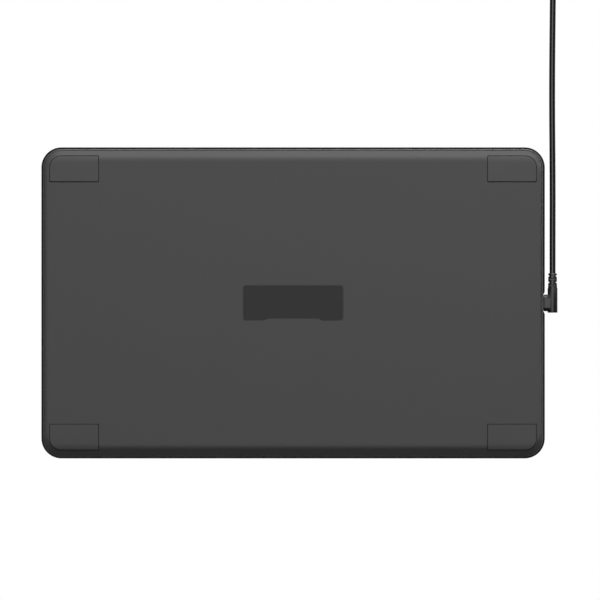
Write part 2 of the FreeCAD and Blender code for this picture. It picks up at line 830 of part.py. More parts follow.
def usb_c_plug():
    half_w, half_h = plug_width / 2, plug_height / 2
    inner_h = half_h - plug_wall
    shell = bar_along_x(half_w, half_h, half_h, plug_root_x, plug_tip_x, 0, socket_z)
    shell = shell.cut(bar_along_x(half_w - plug_wall, inner_h, inner_h,
                                  plug_root_x, plug_tip_x, 0, socket_z))
    keep("usb_c_plug_shell", shell)
    core_h = inner_h - plug_core_play
    core = bar_along_x(half_w - plug_wall - plug_core_play, core_h, core_h,
                       plug_root_x, plug_tip_x - plug_core_setback, 0, socket_z)
    core = core.cut(block(plug_tip_x - plug_slot_depth, plug_tip_x, -plug_slot_width / 2,
                          plug_slot_width / 2, socket_z - plug_slot_height / 2,
                          socket_z + plug_slot_height / 2))
    keep("usb_c_plug_core", core)

    nose = bar_along_x(nose_width / 2, nose_height / 2, nose_radius,
                       cord_x, plug_root_x, 0, socket_z, 0)
    barrel = Part.makeCylinder(barrel_radius, barrel_below + barrel_above,
                               Vector(cord_x, -barrel_below, socket_z), along_y)
    low_rim = [e for e in barrel.Edges if e.BoundBox.YMax < -barrel_below / 2]
    barrel = barrel.makeChamfer(barrel_chamfer, low_rim)
    keep("usb_c_plug_housing", joined([nose, barrel]))

    root = Vector(cord_x, barrel_above, socket_z)
    sleeve = tapered_sleeve(root, along_y, relief_length, relief_root_radius, relief_tip_radius)
    for number in range(relief_notch_count):
        middle = root + along_y * (relief_notch_first + relief_notch_step * number)
        deep = relief_root_radius - relief_notch_depth
        reach = relief_root_radius * 2
        for side in (-1, 1):
            low, high = sorted((side * deep, side * reach))
            if number % 2:
                notch = block(middle.x + low, middle.x + high, middle.y, middle.y
                              + relief_notch_width, middle.z - reach, middle.z + reach)
            else:
                notch = block(middle.x - reach, middle.x + reach, middle.y, middle.y
                              + relief_notch_width, middle.z + low, middle.z + high)
            sleeve = sleeve.cut(notch)
    keep("usb_c_strain_relief", sleeve)


def flat_sided(centre, way, flat, sides):
    sideways = way.cross(along_z)
    upwards = sideways.cross(way)
    corner = flat / math.cos(math.pi / sides)
    points = []
    for side in range(sides):
        angle = 2 * math.pi * (side + 0.5) / sides - math.pi / 2
        points.append(centre + sideways * (corner * math.cos(angle))
                      + upwards * (corner * math.sin(angle)))
    return points


def tapered_sleeve(root, way, length, root_radius, tip_radius):
    low = flat_sided(root, way, root_radius, relief_side_count)
    high = flat_sided(root + way * length, way, tip_radius, relief_side_count)
    faces = [polygon_face([low[side - 1], low[side], high[side], high[side - 1]])
             for side in range(relief_side_count)]
    return Part.Solid(Part.Shell(faces + [polygon_face(low[::-1]), polygon_face(high)]))


# Cord: straight runs joined by tangent arcs, as large as the runs allow

def route_path(name, points):
    edges, radii, last = [], [], points[0]
    for before, corner, after in zip(points, points[1:], points[2:]):
        way_in, way_out = corner - before, after - corner
        reach = 0.45 * min(way_in.Length, way_out.Length)
        way_in.normalize()
        way_out.normalize()
        half_turn = way_in.getAngle(way_out) / 2
        radius = reach / math.tan(half_turn)
        inwards = way_out - way_in
        inwards.normalize()
        middle = corner + inwards * (radius / math.cos(half_turn) - radius)
        start, end = corner - way_in * reach, corner + way_out * reach
        edges.append(Part.LineSegment(last, start).toShape())
        edges.append(Part.Arc(start, middle, end).toShape())
        radii.append(round(radius))
        last = end
    edges.append(Part.LineSegment(last, points[-1]).toShape())
    print(f"{name}: radii {radii} mm")
    return Part.Wire(edges)


def cord_tube(name, path, start, way):
    section = flat_sided(start, way, cord_flat, cord_side_count)
    tube = path.makePipeShell([Part.makePolygon(section + section[:1])], True, False)
    ideal = cord_side_count * cord_flat ** 2 * math.tan(math.pi / cord_side_count) * path.Length
    print(f"{name}: length {path.Length:.1f} mm, volume {tube.Volume:.1f} of {ideal:.1f} mm3")
    keep(name, tube)


# Place and direction along the coil after a number of turns from its outer start
def coil_line(turns, middle):
    outwards = max(0.0, turns - coil_turn_count_in)
    radius = coil_outer_radius - coil_pitch * (min(turns, coil_turn_count_in) - outwards)
    at_an_end = turns < tiny or turns > coil_turn_count - tiny
    steady = 0 if at_an_end or abs(turns - coil_turn_count_in) < tiny else math.copysign(1, outwards - tiny)
    climbed = min(1.0, max(0.0, (turns - coil_turn_count_in) * 2 + 0.5))
    height = coil_layer_rise * (1 - math.cos(math.pi * climbed)) / 2
    climb_rate = coil_layer_rise * math.pi * math.sin(math.pi * climbed)
    angle = math.pi * (1 - 2 * turns)
    out = Vector(math.cos(angle), math.sin(angle), 0)
    onwards = Vector(math.sin(angle), -math.cos(angle), 0)
    way = onwards * (2 * math.pi * radius) + out * (steady * coil_pitch) + along_z * climb_rate
    way.normalize()
    return middle + out * radius + along_z * height, way


# Two arcs that leave one point and reach the next in the given directions
def biarc(start, way_start, end, way_end):
    chord = end - start
    spread = 2 * (1 - way_start.dot(way_end))
    along = chord.dot(way_start + way_end)
    reach = (math.sqrt(along * along + spread * chord.dot(chord)) - along) / spread
    joint = (start + way_start * reach + end - way_end * reach) * 0.5
    return [tangent_arc(start, way_start, joint), tangent_arc(end, way_end * -1, joint)]


def tangent_arc(start, way, end):
    chord = end - start
    off = chord - way * chord.dot(way)
    radius = chord.dot(chord) / (2 * off.Length)
    centre = start + off * (radius / off.Length)
    outwards = start + chord * 0.5 - centre
    outwards.normalize()
    return Part.Arc(start, centre + outwards * radius, end).toShape()


def coil(middle):
    half_turns_in = [0.5 * step for step in range(int(coil_turn_count_in * 2 - 0.5 + tiny) + 1)]
    half_turns_in = [t for t in half_turns_in if t < coil_turn_count_in - 0.25 - tiny]
    climb = [coil_turn_count_in - 0.25, coil_turn_count_in, coil_turn_count_in + 0.25]
    half_turns_out = [climb[-1] + 0.5 * step
                      for step in range(1, int((coil_turn_count - climb[-1]) * 2 + tiny) + 1)]
    places = [coil_line(turns, middle) for turns in half_turns_in + climb + half_turns_out]
    first, last = places[0], places[-1]
    lead = 2 * cord_radius
    entry = first[0] - first[1] * lead
    leaving = last[0] + last[1] * lead
    edges = [Part.LineSegment(entry, first[0]).toShape()]
    for (start, way_start), (end, way_end) in zip(places, places[1:]):
        edges += biarc(start, way_start, end, way_end)
    edges.append(Part.LineSegment(last[0], leaving).toShape())
    cord_tube("cord_coil", Part.Wire(edges), entry, first[1])
    print(f"cord_coil: least gap to itself {coil_gap(middle):.2f} mm")
    return leaving


# The least gap between corner and mid-side points of sections more than a third of a turn apart
def coil_gap(middle):
    rings, per_turn = [], 60
    for number in range(int(coil_turn_count * per_turn) + 1):
        place, way = coil_line(number / per_turn, middle)
        corners = flat_sided(place, way, cord_flat, cord_side_count)
        rings.append((place, corners + [(a + b) * 0.5 for a, b in zip(corners, corners[1:])]))
    least = coil_outer_radius
    for number, (place, ring) in enumerate(rings):
        for other, other_ring in rings[number + per_turn // 3:]:
            if (place - other).Length < 4 * cord_radius:
                least = min(least, min((a - b).Length for a in ring for b in other_ring))
    return least


def cord():
    start = Vector(cord_x, relief_end_y, 0)
    points = [start + Vector(*point) for point in cord_route]
    cord_tube("cord_free", route_path("cord_free", points), points[0], along_y)
    leaving = coil(points[-1] + along_y * (2 * cord_radius) + along_x * coil_outer_radius)
    flat = Vector(leaving.x, leaving.y, 0)
    points = [flat + Vector(*point) for point in tail_route]
    cord_tube("cord_tail", route_path("cord_tail", points), points[0], along_x)
    return points[-1]


# USB-A plug on the tail's end

def usb_a_plug(end):
    housing_x = end.x + usb_a_relief_length
    shell_x = housing_x + usb_a_housing_length
    tip_x = shell_x + usb_a_shell_length
    keep("usb_a_strain_relief", tapered_sleeve(Vector(housing_x, end.y, end.z), along_x * -1,
                                               usb_a_relief_length, usb_a_relief_root_radius,
                                               usb_a_relief_tip_radius))
    housing = bar_along_x(usb_a_housing_width / 2, usb_a_housing_height / 2, usb_a_housing_radius,
                          housing_x, shell_x, end.y, end.z)
    end_edges = [e for e in housing.Edges if e.BoundBox.XMax < housing_x + usb_a_housing_chamfer]
    keep("usb_a_plug_housing", housing.makeChamfer(usb_a_housing_chamfer, end_edges))

    half_w, half_h = usb_a_shell_width / 2, usb_a_shell_height / 2
    inner_w, inner_h = half_w - usb_a_shell_wall, half_h - usb_a_shell_wall
    shell = bar_along_x(half_w, half_h, 0.0, shell_x, tip_x, end.y, end.z)
    shell = shell.cut(bar_along_x(inner_w, inner_h, 0.0, shell_x, tip_x, end.y, end.z))
    for side in (-1, 1):
        shell = shell.cut(block_at(tip_x - usb_a_window_back, end.y + side * usb_a_window_spread,
                                   usb_a_window_size, usb_a_window_size,
                                   end.z - half_h, end.z + half_h))
    keep("usb_a_plug_shell", shell)
    keep("usb_a_plug_core", block(shell_x, tip_x - usb_a_core_setback, end.y - inner_w,
                                  end.y + inner_w, end.z + inner_h - usb_a_core_thickness,
                                  end.z + inner_h))


front_cover()
rear_cover()
feet()
label_plate()
drawing_stack()
main_board()
small_parts()
light_pipe()
sensor_link()
keys()
screws()
socket()
usb_c_plug()
usb_a_plug(cord())

os.makedirs("parts", exist_ok=True)
for name, shape in shapes.items():
    if not shape.isValid():
        print("not valid:", name)
    shape.exportStep(f"parts/{name}.step")
print(len(shapes), "nodes")
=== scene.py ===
import math
import bmesh
import bpy
from mathutils import Matrix, Vector


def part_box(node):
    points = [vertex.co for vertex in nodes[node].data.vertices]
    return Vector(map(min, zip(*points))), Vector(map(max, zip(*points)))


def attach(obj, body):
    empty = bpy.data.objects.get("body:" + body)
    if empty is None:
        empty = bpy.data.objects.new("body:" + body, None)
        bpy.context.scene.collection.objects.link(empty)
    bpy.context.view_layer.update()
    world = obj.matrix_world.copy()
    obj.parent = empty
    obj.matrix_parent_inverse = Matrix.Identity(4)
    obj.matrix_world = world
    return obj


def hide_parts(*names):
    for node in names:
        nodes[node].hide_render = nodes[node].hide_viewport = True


# A pen tablet seen from below, with its cable plugged in. Sizes here are in millimetres and
# become metres when a piece is finished, so that they read like the drawing.
mm = 0.001

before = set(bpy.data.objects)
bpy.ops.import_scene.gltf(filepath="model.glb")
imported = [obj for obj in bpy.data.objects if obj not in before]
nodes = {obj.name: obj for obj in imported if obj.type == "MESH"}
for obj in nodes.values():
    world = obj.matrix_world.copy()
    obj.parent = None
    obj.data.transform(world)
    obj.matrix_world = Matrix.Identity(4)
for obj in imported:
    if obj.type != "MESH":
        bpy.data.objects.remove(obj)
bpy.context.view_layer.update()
print("frame loaded:", len(nodes), "nodes")


def boxOf(name):  # lowest and highest corner of a node, in millimetres
    low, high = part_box(name)
    return low / mm, high / mm


def placed(name, data):
    made = bpy.data.objects.new(name, data)
    bpy.context.scene.collection.objects.link(made)
    return made


def meshOf(name, bm):
    mesh = bpy.data.meshes.new(name)
    bm.to_mesh(mesh)
    bm.free()
    return mesh


# Shader nodes: sums are written on signals, other nodes come from one method

def maths(operation, reflected=False):  # a method of Signal that adds one Math node
    def method(self, *others):
        values = (*others, self) if reflected else (self, *others)
        return self.shader.node("ShaderNodeMath", {"operation": operation}, values)
    return method


class Signal:
    def __init__(self, shader, socket):
        self.shader, self.socket = shader, socket

    __add__ = __radd__ = maths("ADD")
    __sub__, __rsub__ = maths("SUBTRACT"), maths("SUBTRACT", True)
    __mul__ = __rmul__ = maths("MULTIPLY")
    __truediv__, __rtruediv__ = maths("DIVIDE"), maths("DIVIDE", True)
    __gt__, __lt__ = maths("GREATER_THAN"), maths("LESS_THAN")
    __mod__, __rmod__ = maths("FLOORED_MODULO"), maths("FLOORED_MODULO", True)
    __abs__ = maths("ABSOLUTE")
    least, most = maths("MINIMUM"), maths("MAXIMUM")


class Shader:
    def __init__(self, owner):
        owner.use_nodes = True
        self.tree = owner.node_tree

    def node(self, kind, settings, values, output=0):
        made = self.tree.nodes.new(kind)
        for name, value in settings.items():
            if name == "stops":
                self.setStops(made.color_ramp, value)
            else:
                setattr(made, name, value)
        pairs = values.items() if isinstance(values, dict) else enumerate(values)
        for name, value in pairs:
            self.join(value, made.inputs[name])
        return Signal(self, made.outputs[output])

    def setStops(self, ramp, stops):  # each stop is a place and a grey
        for number, (place, grey) in enumerate(stops):
            stop = ramp.elements[number] if number < 2 else ramp.elements.new(place)
            stop.position = place
            stop.color = (grey, grey, grey, 1)

    def join(self, value, socket):
        if isinstance(value, Signal):
            self.tree.links.new(value.socket, socket)
        else:
            socket.default_value = value

    def ramp(self, value, stops):
        return self.node("ShaderNodeValToRGB", {"stops": stops}, [value])

    def axes(self, vector):
        parts = self.node("ShaderNodeSeparateXYZ", {}, [vector]).socket.node
        return [Signal(self, socket) for socket in parts.outputs]

    def mix(self, share, first, second):
        ends = [(*end, 1) if isinstance(end, tuple) else end for end in (first, second)]
        return self.node("ShaderNodeMix", {"data_type": "RGBA"}, {0: share, 6: ends[0], 7: ends[1]}, 2)


class Paint(Shader):
    def __init__(self, name, colour, roughness, metallic=0.0, specular=0.5, **fixed):
        self.material = bpy.data.materials.new(name)
        super().__init__(self.material)
        self.surface = self.tree.nodes["Principled BSDF"]
        given = {"Base Color": (*colour, 1), "Roughness": roughness, "Metallic": metallic,
                 "Specular IOR Level": specular, **fixed}
        for socket, value in given.items():
            self.feed(socket, value)
        self.place = self.node("ShaderNodeTexCoord", {}, {}, "Object")

    def feed(self, socket, value):
        self.join(value, self.surface.inputs[socket])

    def measured(self):  # the place along each axis, in millimetres
        return [axis / mm for axis in self.axes(self.place)]

    def noise(self, size, detail=2.0, roughness=0.5):
        values = {"Vector": self.place, "Scale": 1 / (size * mm), "Detail": detail, "Roughness": roughness}
        return self.node("ShaderNodeTexNoise", {}, values)

    def streaks(self, scale, detail=2.0, roughness=0.5):  # noise with its own scale along each axis
        place = self.node("ShaderNodeVectorMath", {"operation": "MULTIPLY"}, [self.place, scale])
        values = {"Vector": place, "Scale": 1.0, "Detail": detail, "Roughness": roughness}
        return self.node("ShaderNodeTexNoise", {}, values)

    def cells(self, size, output="Distance"):
        values = {"Vector": self.place, "Scale": 1 / (size * mm)}
        return self.node("ShaderNodeTexVoronoi", {}, values, output)

    def bump(self, height, depth):
        self.feed("Normal", self.node("ShaderNodeBump", {}, {"Height": height, "Distance": depth * mm}))

    def lay(self, colour, roughness, height, depth):  # a whole skin of one kind
        self.feed("Base Color", colour)
        self.feed("Roughness", roughness)
        self.bump(height, depth)


# Camera and light

cameraSet = {
    "x": -4.83,
    "y": 2.03,
    "away": 6000.0,
    "acrossPicture": 419.3,  # what the picture spans at the height that is sharp
    "sharpAt": 6.9,
    "sensor": 36.0,
    "seesUpTo": 20000.0,
}
floorSet = {
    "height": -0.2,
    "clearOfCamera": 0.1,
    "size": 40000.0,
    "grey": 0.85,
    "roughness": 0.7,
    "glow": 0.6,
}


def makeCamera():
    lens = bpy.data.cameras.new("camera")
    lens.sensor_width = cameraSet["sensor"]
    lens.lens = cameraSet["sensor"] * cameraSet["away"] / cameraSet["acrossPicture"]
    height = cameraSet["sharpAt"] - cameraSet["away"]
    lens.clip_start = (floorSet["height"] + floorSet["clearOfCamera"] - height) * mm  # just past the floor
    lens.clip_end = cameraSet["seesUpTo"] * mm
    eye = placed("camera", lens)
    eye.location = (cameraSet["x"] * mm, cameraSet["y"] * mm, height * mm)
    eye.rotation_euler = (0, math.pi, 0)  # looks up at the underside, far edge at the top
    bpy.context.scene.camera = eye


lightSet = {
    # name: (direction to the light, distance, width, height, watts)
    # below the case first, then level with it, then above
    "keyFar": ((-0.10, 0.89, -0.43), 2000, 1700, 420, 41.0),
    "fillCorner": ((-0.72, 0.42, -0.55), 1800, 1300, 700, 7.0),
    "frontBox": ((0.04, 0.06, -1.0), 2600, 2300, 2300, 21.8),
    "levelLeft": ((1.0, 0.0, 0.02), 1800, 1500, 700, 9.0),
    "levelRight": ((-1.0, 0.0, 0.02), 1800, 1500, 700, 5.0),
    "softTop": ((0.30, -0.70, 0.65), 1900, 1500, 1200, 120.0),
    "softBack": ((-0.62, 0.60, 0.50), 2000, 1200, 900, 60.0),
}
worldSet = {
    "seen": 1.0,  # what the camera sees behind the object
    # brightness from straight below (0) over the horizon (0.5) to straight above (1)
    "stops": [(0.0, 0.02), (0.5, 0.02), (0.54, 0.14), (0.62, 0.36), (0.70, 0.36), (0.80, 0.16), (1.0, 0.08)],
}


def makeLights():
    for name, (direction, distance, width, height, watts) in lightSet.items():
        lamp = bpy.data.lights.new(name, "AREA")
        lamp.shape, lamp.size, lamp.size_y, lamp.energy = "RECTANGLE", width * mm, height * mm, watts
        away = Vector(direction).normalized()
        side = away.cross(Vector((0, 1, 0))).normalized()  # the long side lies level with the case
        upright = side.cross(away)
        holder = placed(name, lamp)
        turn = Matrix((side, upright, away)).transposed()
        holder.matrix_world = Matrix.Translation(away * distance * mm) @ turn.to_4x4()
        holder.visible_glossy = direction[2] < 0  # the others leave no glint on the walls seen from below
    world = bpy.data.worlds.new("studio")
    bpy.context.scene.world = world
    studio = Shader(world)
    upwards = studio.axes(studio.node("ShaderNodeTexCoord", {}, {}, "Generated"))[2]
    sky = studio.ramp(upwards * 0.5 + 0.5, worldSet["stops"])
    seenByCamera = studio.node("ShaderNodeLightPath", {}, {}, "Is Camera Ray")
    colour = studio.mix(seenByCamera, sky, (worldSet["seen"],) * 3)
    studio.join(colour, studio.tree.nodes["Background"].inputs["Color"])
    bpy.context.scene.view_settings.view_transform = "Standard"


makeCamera()
makeLights()
print("camera and lights made")


# Materials

def shade(colour, factor):
    return tuple(min(1.0, part * factor) for part in colour)


def shades(colour, factors):
    return [shade(colour, factor) for factor in factors]


mouldedSet = {"grain": 0.35, "grainDepth": 0.010, "cloud": 60.0, "cloudShare": 0.035, "roughSpread": 0.08}


def mouldedTone(paint, colour, grain=1.0):  # fine grain and slow clouds in one colour
    fine = paint.noise(mouldedSet["grain"] * grain, 3.0, 0.6)
    cloud = paint.noise(mouldedSet["cloud"], 2.0)
    spread = mouldedSet["cloudShare"]
    return fine, paint.mix(fine * 0.5 + cloud * 0.5, shade(colour, 1 - spread), shade(colour, 1 + spread))


def mouldedPaint(name, colour, roughness, grain=1.0, specular=0.5, over=None):
    paint = Paint(name, colour, roughness, specular=specular)
    fine, tone = mouldedTone(paint, colour, grain)
    spread = mouldedSet["roughSpread"]
    rough = fine * spread + (roughness - spread / 2)
    paint.lay(over(paint, tone) if over else tone, rough, fine, mouldedSet["grainDepth"] * grain)
    return paint


colours = {
    "case": (0.062, 0.062, 0.063),
    "foot": (0.066, 0.066, 0.067),
    "black": (0.005, 0.005, 0.0053),
    "label": (0.022, 0.022, 0.023),
    "film": (0.016, 0.016, 0.017),
    "key": (0.022, 0.022, 0.023),
    "plug": (0.008, 0.008, 0.0083),
    "relief": (0.006, 0.006, 0.0063),
    "cord": (0.006, 0.006, 0.0063),
}
# the chamfer's tone paints it lighter than the case: a painted highlight
rimSet = {"blackFrom": 3.36, "blend": 0.03, "seamInset": 2.07, "chamferHighlightTone": 1.4}


def insideOutline(x, y, ring):  # mask inside a ring of half length, half width and corner radius
    halfX, halfY, corner = ring
    overX = (abs(x) - (halfX - corner)).most(0.0)
    overY = (abs(y) - (halfY - corner)).most(0.0)
    return overX * overX + overY * overY < corner * corner


def shadedPockets(paint, grey):  # painted shade: the pockets round the feet are painted black, which shows as a dark line round each foot
    x, y = paint.measured()[:2]
    reachX, reachY = (half + footSet["gap"] for half in footSet["half"])
    middleX, middleY = footSet["middle"]
    inCorner = (abs(x) > middleX - reachX) * (abs(y) > middleY - reachY)
    outer = (middleX + reachX, middleY + reachY, footSet["outerRadius"] + footSet["gap"])
    # painted shade: black on the floor and walls of the gap round each foot, where shade falls
    return paint.mix(inCorner * insideOutline(x, y, outer), grey, colours["black"])


def frontPaint():  # black, but for the chamfer, a grey painted lighter than the rear cover: a painted highlight where the chamfer faces the light
    paint = Paint("frontCover", colours["black"], 0.25, specular=0.15)
    fine, grey = mouldedTone(paint, shade(colours["case"], rimSet["chamferHighlightTone"]))
    x, y, height = paint.measured()
    start, end = rimSet["blackFrom"], rimSet["blackFrom"] + rimSet["blend"]
    above = paint.node("ShaderNodeMapRange", {}, {"Value": height, "From Min": start, "From Max": end})
    inSeam = insideOutline(x, y, evenRing(rimSet["seamInset"], 0)[:3])
    paint.feed("Base Color", paint.mix(above.most(inSeam), grey, colours["black"]))
    paint.bump(fine, mouldedSet["grainDepth"])
    return paint


labelBlend = {"width": 0.9, "borderTone": 0.82, "lineAt": 1.1, "lineHalf": 0.35, "lineTone": 0.8}


def labelPaint():  # dark plate whose colour fades at its border, with a thin darker line inside
    paint = Paint("labelPlate", colours["label"], 0.5, specular=0.3)
    fine, dark = mouldedTone(paint, colours["label"])
    x, y = paint.measured()[:2]
    halfX, halfY = labelSet["half"]
    _, notchHalf, notchDeep = labelSet["notchHalf"]
    fromSides = (halfX - abs(x)).least(halfY - abs(y))
    fromNotch = (y + (halfY - notchDeep)).most(abs(x) - notchHalf)
    inwards = fromSides.least(fromNotch)
    inside = paint.node("ShaderNodeMapRange", {"interpolation_type": "SMOOTHSTEP"},
                        {"Value": inwards, "From Min": 0.0, "From Max": labelBlend["width"]})
    line = abs(inwards - labelBlend["lineAt"]) < labelBlend["lineHalf"]
    lined = paint.mix(line, dark, shade(colours["label"], labelBlend["lineTone"]))
    paint.feed("Base Color", paint.mix(inside, shade(colours["case"], labelBlend["borderTone"]), lined))
    paint.bump(fine, mouldedSet["grainDepth"])
    return paint


filmSet = {
    "half": (147.95, 100.7),
    "middle": 19.95,
    "radius": 6.0,
    "cornerSteps": 10,
    "bottom": 8.3,
    "gap": 0.1,
    "edge": 0.06,
    "active": (21.0, 127.0, 79.4),  # middle and half sizes of the area that the pen works on
    "markLength": 7.0,
    "markWidth": 0.45,
    "markColour": (0.16, 0.16, 0.165),
    "tooth": 0.22,  # size and depth of the film's paper-like grain
    "depth": 0.008,
}


def filmPaint():  # matt film with printed corner marks round the pen's area
    paint = Paint("drawingFilm", colours["film"], 0.5, specular=0.35)
    fine, tone = mouldedTone(paint, colours["film"])
    x, y = paint.measured()[:2]
    middle, halfX, halfY = filmSet["active"]
    fromX, fromY = halfX - abs(x - middle), halfY - abs(y)
    half, length = filmSet["markWidth"] / 2, filmSet["markLength"]
    alongSide = (abs(fromX) < half) * (fromY > -half) * (fromY < length)
    alongEnd = (abs(fromY) < half) * (fromX > -half) * (fromX < length)
    mark = alongSide.most(alongEnd)
    printed = paint.mix(mark, tone, filmSet["markColour"])
    tooth = paint.noise(filmSet["tooth"], 1.0)
    paint.lay(printed, tooth * 0.1 + fine * 0.05 + 0.42, tooth * 0.7 + fine * 0.3, filmSet["depth"])
    return paint


brushedSet = {"stain": 6.0, "tones": (0.82, 1.1), "depth": 0.004}


def brushedPaint(name, colour, roughness, stretch):  # metal with fine lines along one axis
    paint = Paint(name, colour, roughness, 1.0)
    lines = paint.streaks(stretch, 3.0, 0.6)
    stain = paint.noise(brushedSet["stain"], 3.0)
    tone = paint.mix(lines * 0.6 + stain * 0.4, *shades(colour, brushedSet["tones"]))
    paint.lay(tone, stain * 0.14 + lines * 0.08 + (roughness - 0.1), lines, brushedSet["depth"])
    return paint


def inlaid(paint, mask, ground, inlay, roughness, metallic):  # metal or print let into another surface
    paint.feed("Base Color", paint.mix(mask, ground, inlay))
    for socket, (outside, inside) in {"Roughness": roughness, "Metallic": metallic}.items():
        paint.feed(socket, mask * (inside - outside) + outside)


boardSet = {
    "blocks": 16.0,  # size of the areas whose tracks run one way
    "patches": 5.0,  # size of the areas with and without tracks
    "bareBelow": 0.44,
    "trackTone": 1.9,
    "trackHeight": 0.03,
    "viaPitch": 3.1,
    "viaRadius": 0.3,
    "gold": (0.62, 0.42, 0.16),
}


def boardPaint(name, colour, pitch, width):  # solder mask over copper tracks, with plated holes
    paint = Paint(name, colour, 0.38)
    fine, mask = mouldedTone(paint, colour)
    x, y = paint.measured()[:2]
    runsAcross = paint.noise(boardSet["blocks"], 0.0) > 0.5
    across = runsAcross * x + (1 - runsAcross) * y
    here = paint.noise(boardSet["patches"], 0.0) > boardSet["bareBelow"]
    track = (abs(across % pitch - pitch / 2) < width / 2) * here
    pitchVia, radius = boardSet["viaPitch"], boardSet["viaRadius"]
    offX, offY = (x % pitchVia - pitchVia / 2), (y % pitchVia - pitchVia / 2)
    via = (offX * offX + offY * offY < radius * radius) * (1 - here)
    ground = paint.mix(track, mask, shade(colour, boardSet["trackTone"]))
    inlaid(paint, via, ground, boardSet["gold"], (0.36, 0.3), (0.0, 1.0))
    paint.bump(track + via + fine * 0.15, boardSet["trackHeight"])
    return paint


sensorSet = {"colour": (0.012, 0.040, 0.022), "pitch": 6.0, "lineHalf": 0.25, "lineTone": 2.1}


def gridLines(x, y, pitch, place, half):  # mask of lines in both directions, at one place in each pitch
    return (abs(x % pitch - place) < half).most(abs(y % pitch - place) < half)


def sensorPaint():  # sensing loops under the mask, in two layers
    colour, pitch, half = sensorSet["colour"], sensorSet["pitch"], sensorSet["lineHalf"]
    paint = Paint("sensorBoard", colour, 0.4)
    fine, mask = mouldedTone(paint, colour)
    x, y = paint.measured()[:2]
    loops = gridLines(x, y, pitch, pitch / 2, half)
    track = loops.most(gridLines(x, y, pitch, pitch / 3, half / 2))
    tone = paint.mix(track, mask, shade(colour, sensorSet["lineTone"]))
    paint.lay(tone, fine * 0.1 + 0.34 - track * 0.05, track + fine * 0.15, boardSet["trackHeight"])
    return paint


chipSet = {"colour": (0.012, 0.012, 0.013), "cell": 0.12, "grain": 0.08, "tones": (0.7, 1.7), "depth": 0.012}


def chipPaint():  # black moulded resin with a laser-worn top
    paint = Paint("chipResin", chipSet["colour"], 0.55)
    grains = paint.cells(chipSet["cell"])
    fine = paint.noise(chipSet["grain"], 3.0)
    tone = paint.mix(fine * 0.6 + grains * 0.4, *shades(chipSet["colour"], chipSet["tones"]))
    paint.lay(tone, fine * 0.2 + 0.45, grains + fine, chipSet["depth"])
    return paint


partSet = {
    "cell": 4.0,  # size of the areas with one kind of part
    "resistor": (0.015, 0.015, 0.017),
    "capacitor": (0.30, 0.20, 0.12),
    "dust": (0.05, 0.05, 0.05),
    "tin": (0.66, 0.66, 0.67),
    "grain": 0.1,
    "endEvery": 1.0,
    "endShare": 0.3,
    "depth": 0.015,
}


def smallPartsPaint():  # capacitors and resistors by place, with tinned ends
    paint = Paint("smallParts", partSet["resistor"], 0.5)
    isCapacitor = paint.axes(paint.cells(partSet["cell"], "Color"))[0] > 0.5
    grain = paint.noise(partSet["grain"])
    clean = paint.mix(isCapacitor, partSet["resistor"], partSet["capacitor"])
    body = paint.mix(grain * 0.3, clean, partSet["dust"])
    x = paint.measured()[0]
    end = (x % partSet["endEvery"]) < partSet["endShare"] * partSet["endEvery"]
    inlaid(paint, end, body, partSet["tin"], (0.5, 0.3), (0.0, 1.0))
    paint.bump(grain + end * 0.5, partSet["depth"])
    return paint


foamSet = {"colour": (0.028, 0.028, 0.030), "pore": 0.45, "grain": 0.2, "tones": (0.35, 1.5), "depth": 0.25}


def foamPaint():  # open-cell foam strips
    paint = Paint("foam", foamSet["colour"], 0.95)
    pores, fine = paint.cells(foamSet["pore"]), paint.noise(foamSet["grain"], 3.0)
    tone = paint.mix(pores, *shades(foamSet["colour"], foamSet["tones"]))
    paint.lay(tone, fine * 0.1 + 0.88, pores + fine * 0.3, foamSet["depth"])
    return paint


flexSet = {
    "film": (0.35, 0.13, 0.02),
    "tones": ((0.30, 0.11, 0.015), (0.42, 0.17, 0.03)),
    "copper": (0.62, 0.26, 0.07),
    "cloud": 1.5,
    "pitch": 1.0,
    "lineHalf": 0.27,
    "depth": 0.02,
}


def flexPaint():  # amber film with copper lines along it
    paint = Paint("flexFilm", flexSet["film"], 0.3)
    fine = paint.noise(flexSet["cloud"])
    y, pitch = paint.measured()[1], flexSet["pitch"]
    line = abs(y % pitch - pitch / 2) < flexSet["lineHalf"]
    ground = paint.mix(fine, *flexSet["tones"])
    inlaid(paint, line, ground, flexSet["copper"], (0.28, 0.34), (0.0, 0.6))
    paint.bump(line + fine * 0.1, flexSet["depth"])
    return paint


contactSet = {"grain": 0.4, "wear": 0.6, "tones": (0.8, 1.25), "depth": 0.02}


def contactPaint(name, pitch, share, ground):  # plastic with a row of gold contacts across y
    paint = Paint(name, ground, 0.4)
    fine, tone = mouldedTone(paint, ground, contactSet["grain"])
    y = paint.measured()[1]
    contact = abs(y % pitch - pitch / 2) < pitch * share / 2
    gold = paint.mix(paint.noise(contactSet["wear"]), *shades(boardSet["gold"], contactSet["tones"]))
    inlaid(paint, contact, tone, gold, (0.4, 0.22), (0.0, 1.0))
    paint.bump(contact + fine * 0.2, contactSet["depth"])
    return paint


glassSet = {"fibres": (1500, 5000, 5000), "grain": 0.5, "fibreTone": 1.4, "depth": 0.01}


def glassFilledPaint(name, colour):  # stiff plastic of connectors, with short fibres in its skin
    paint = Paint(name, colour, 0.5)
    fibres = paint.streaks(glassSet["fibres"])
    fine, tone = mouldedTone(paint, colour, glassSet["grain"])
    tone = paint.mix(fibres * 0.35, tone, shade(colour, glassSet["fibreTone"]))
    paint.lay(tone, fibres * 0.15 + fine * 0.1 + 0.38, fibres * 0.5 + fine * 0.5, glassSet["depth"])
    return paint


clearSet = {"index": 1.49, "haze": 1.2, "grain": 0.15, "tones": (0.9, 1.05), "glowTone": 0.8, "depth": 0.004}


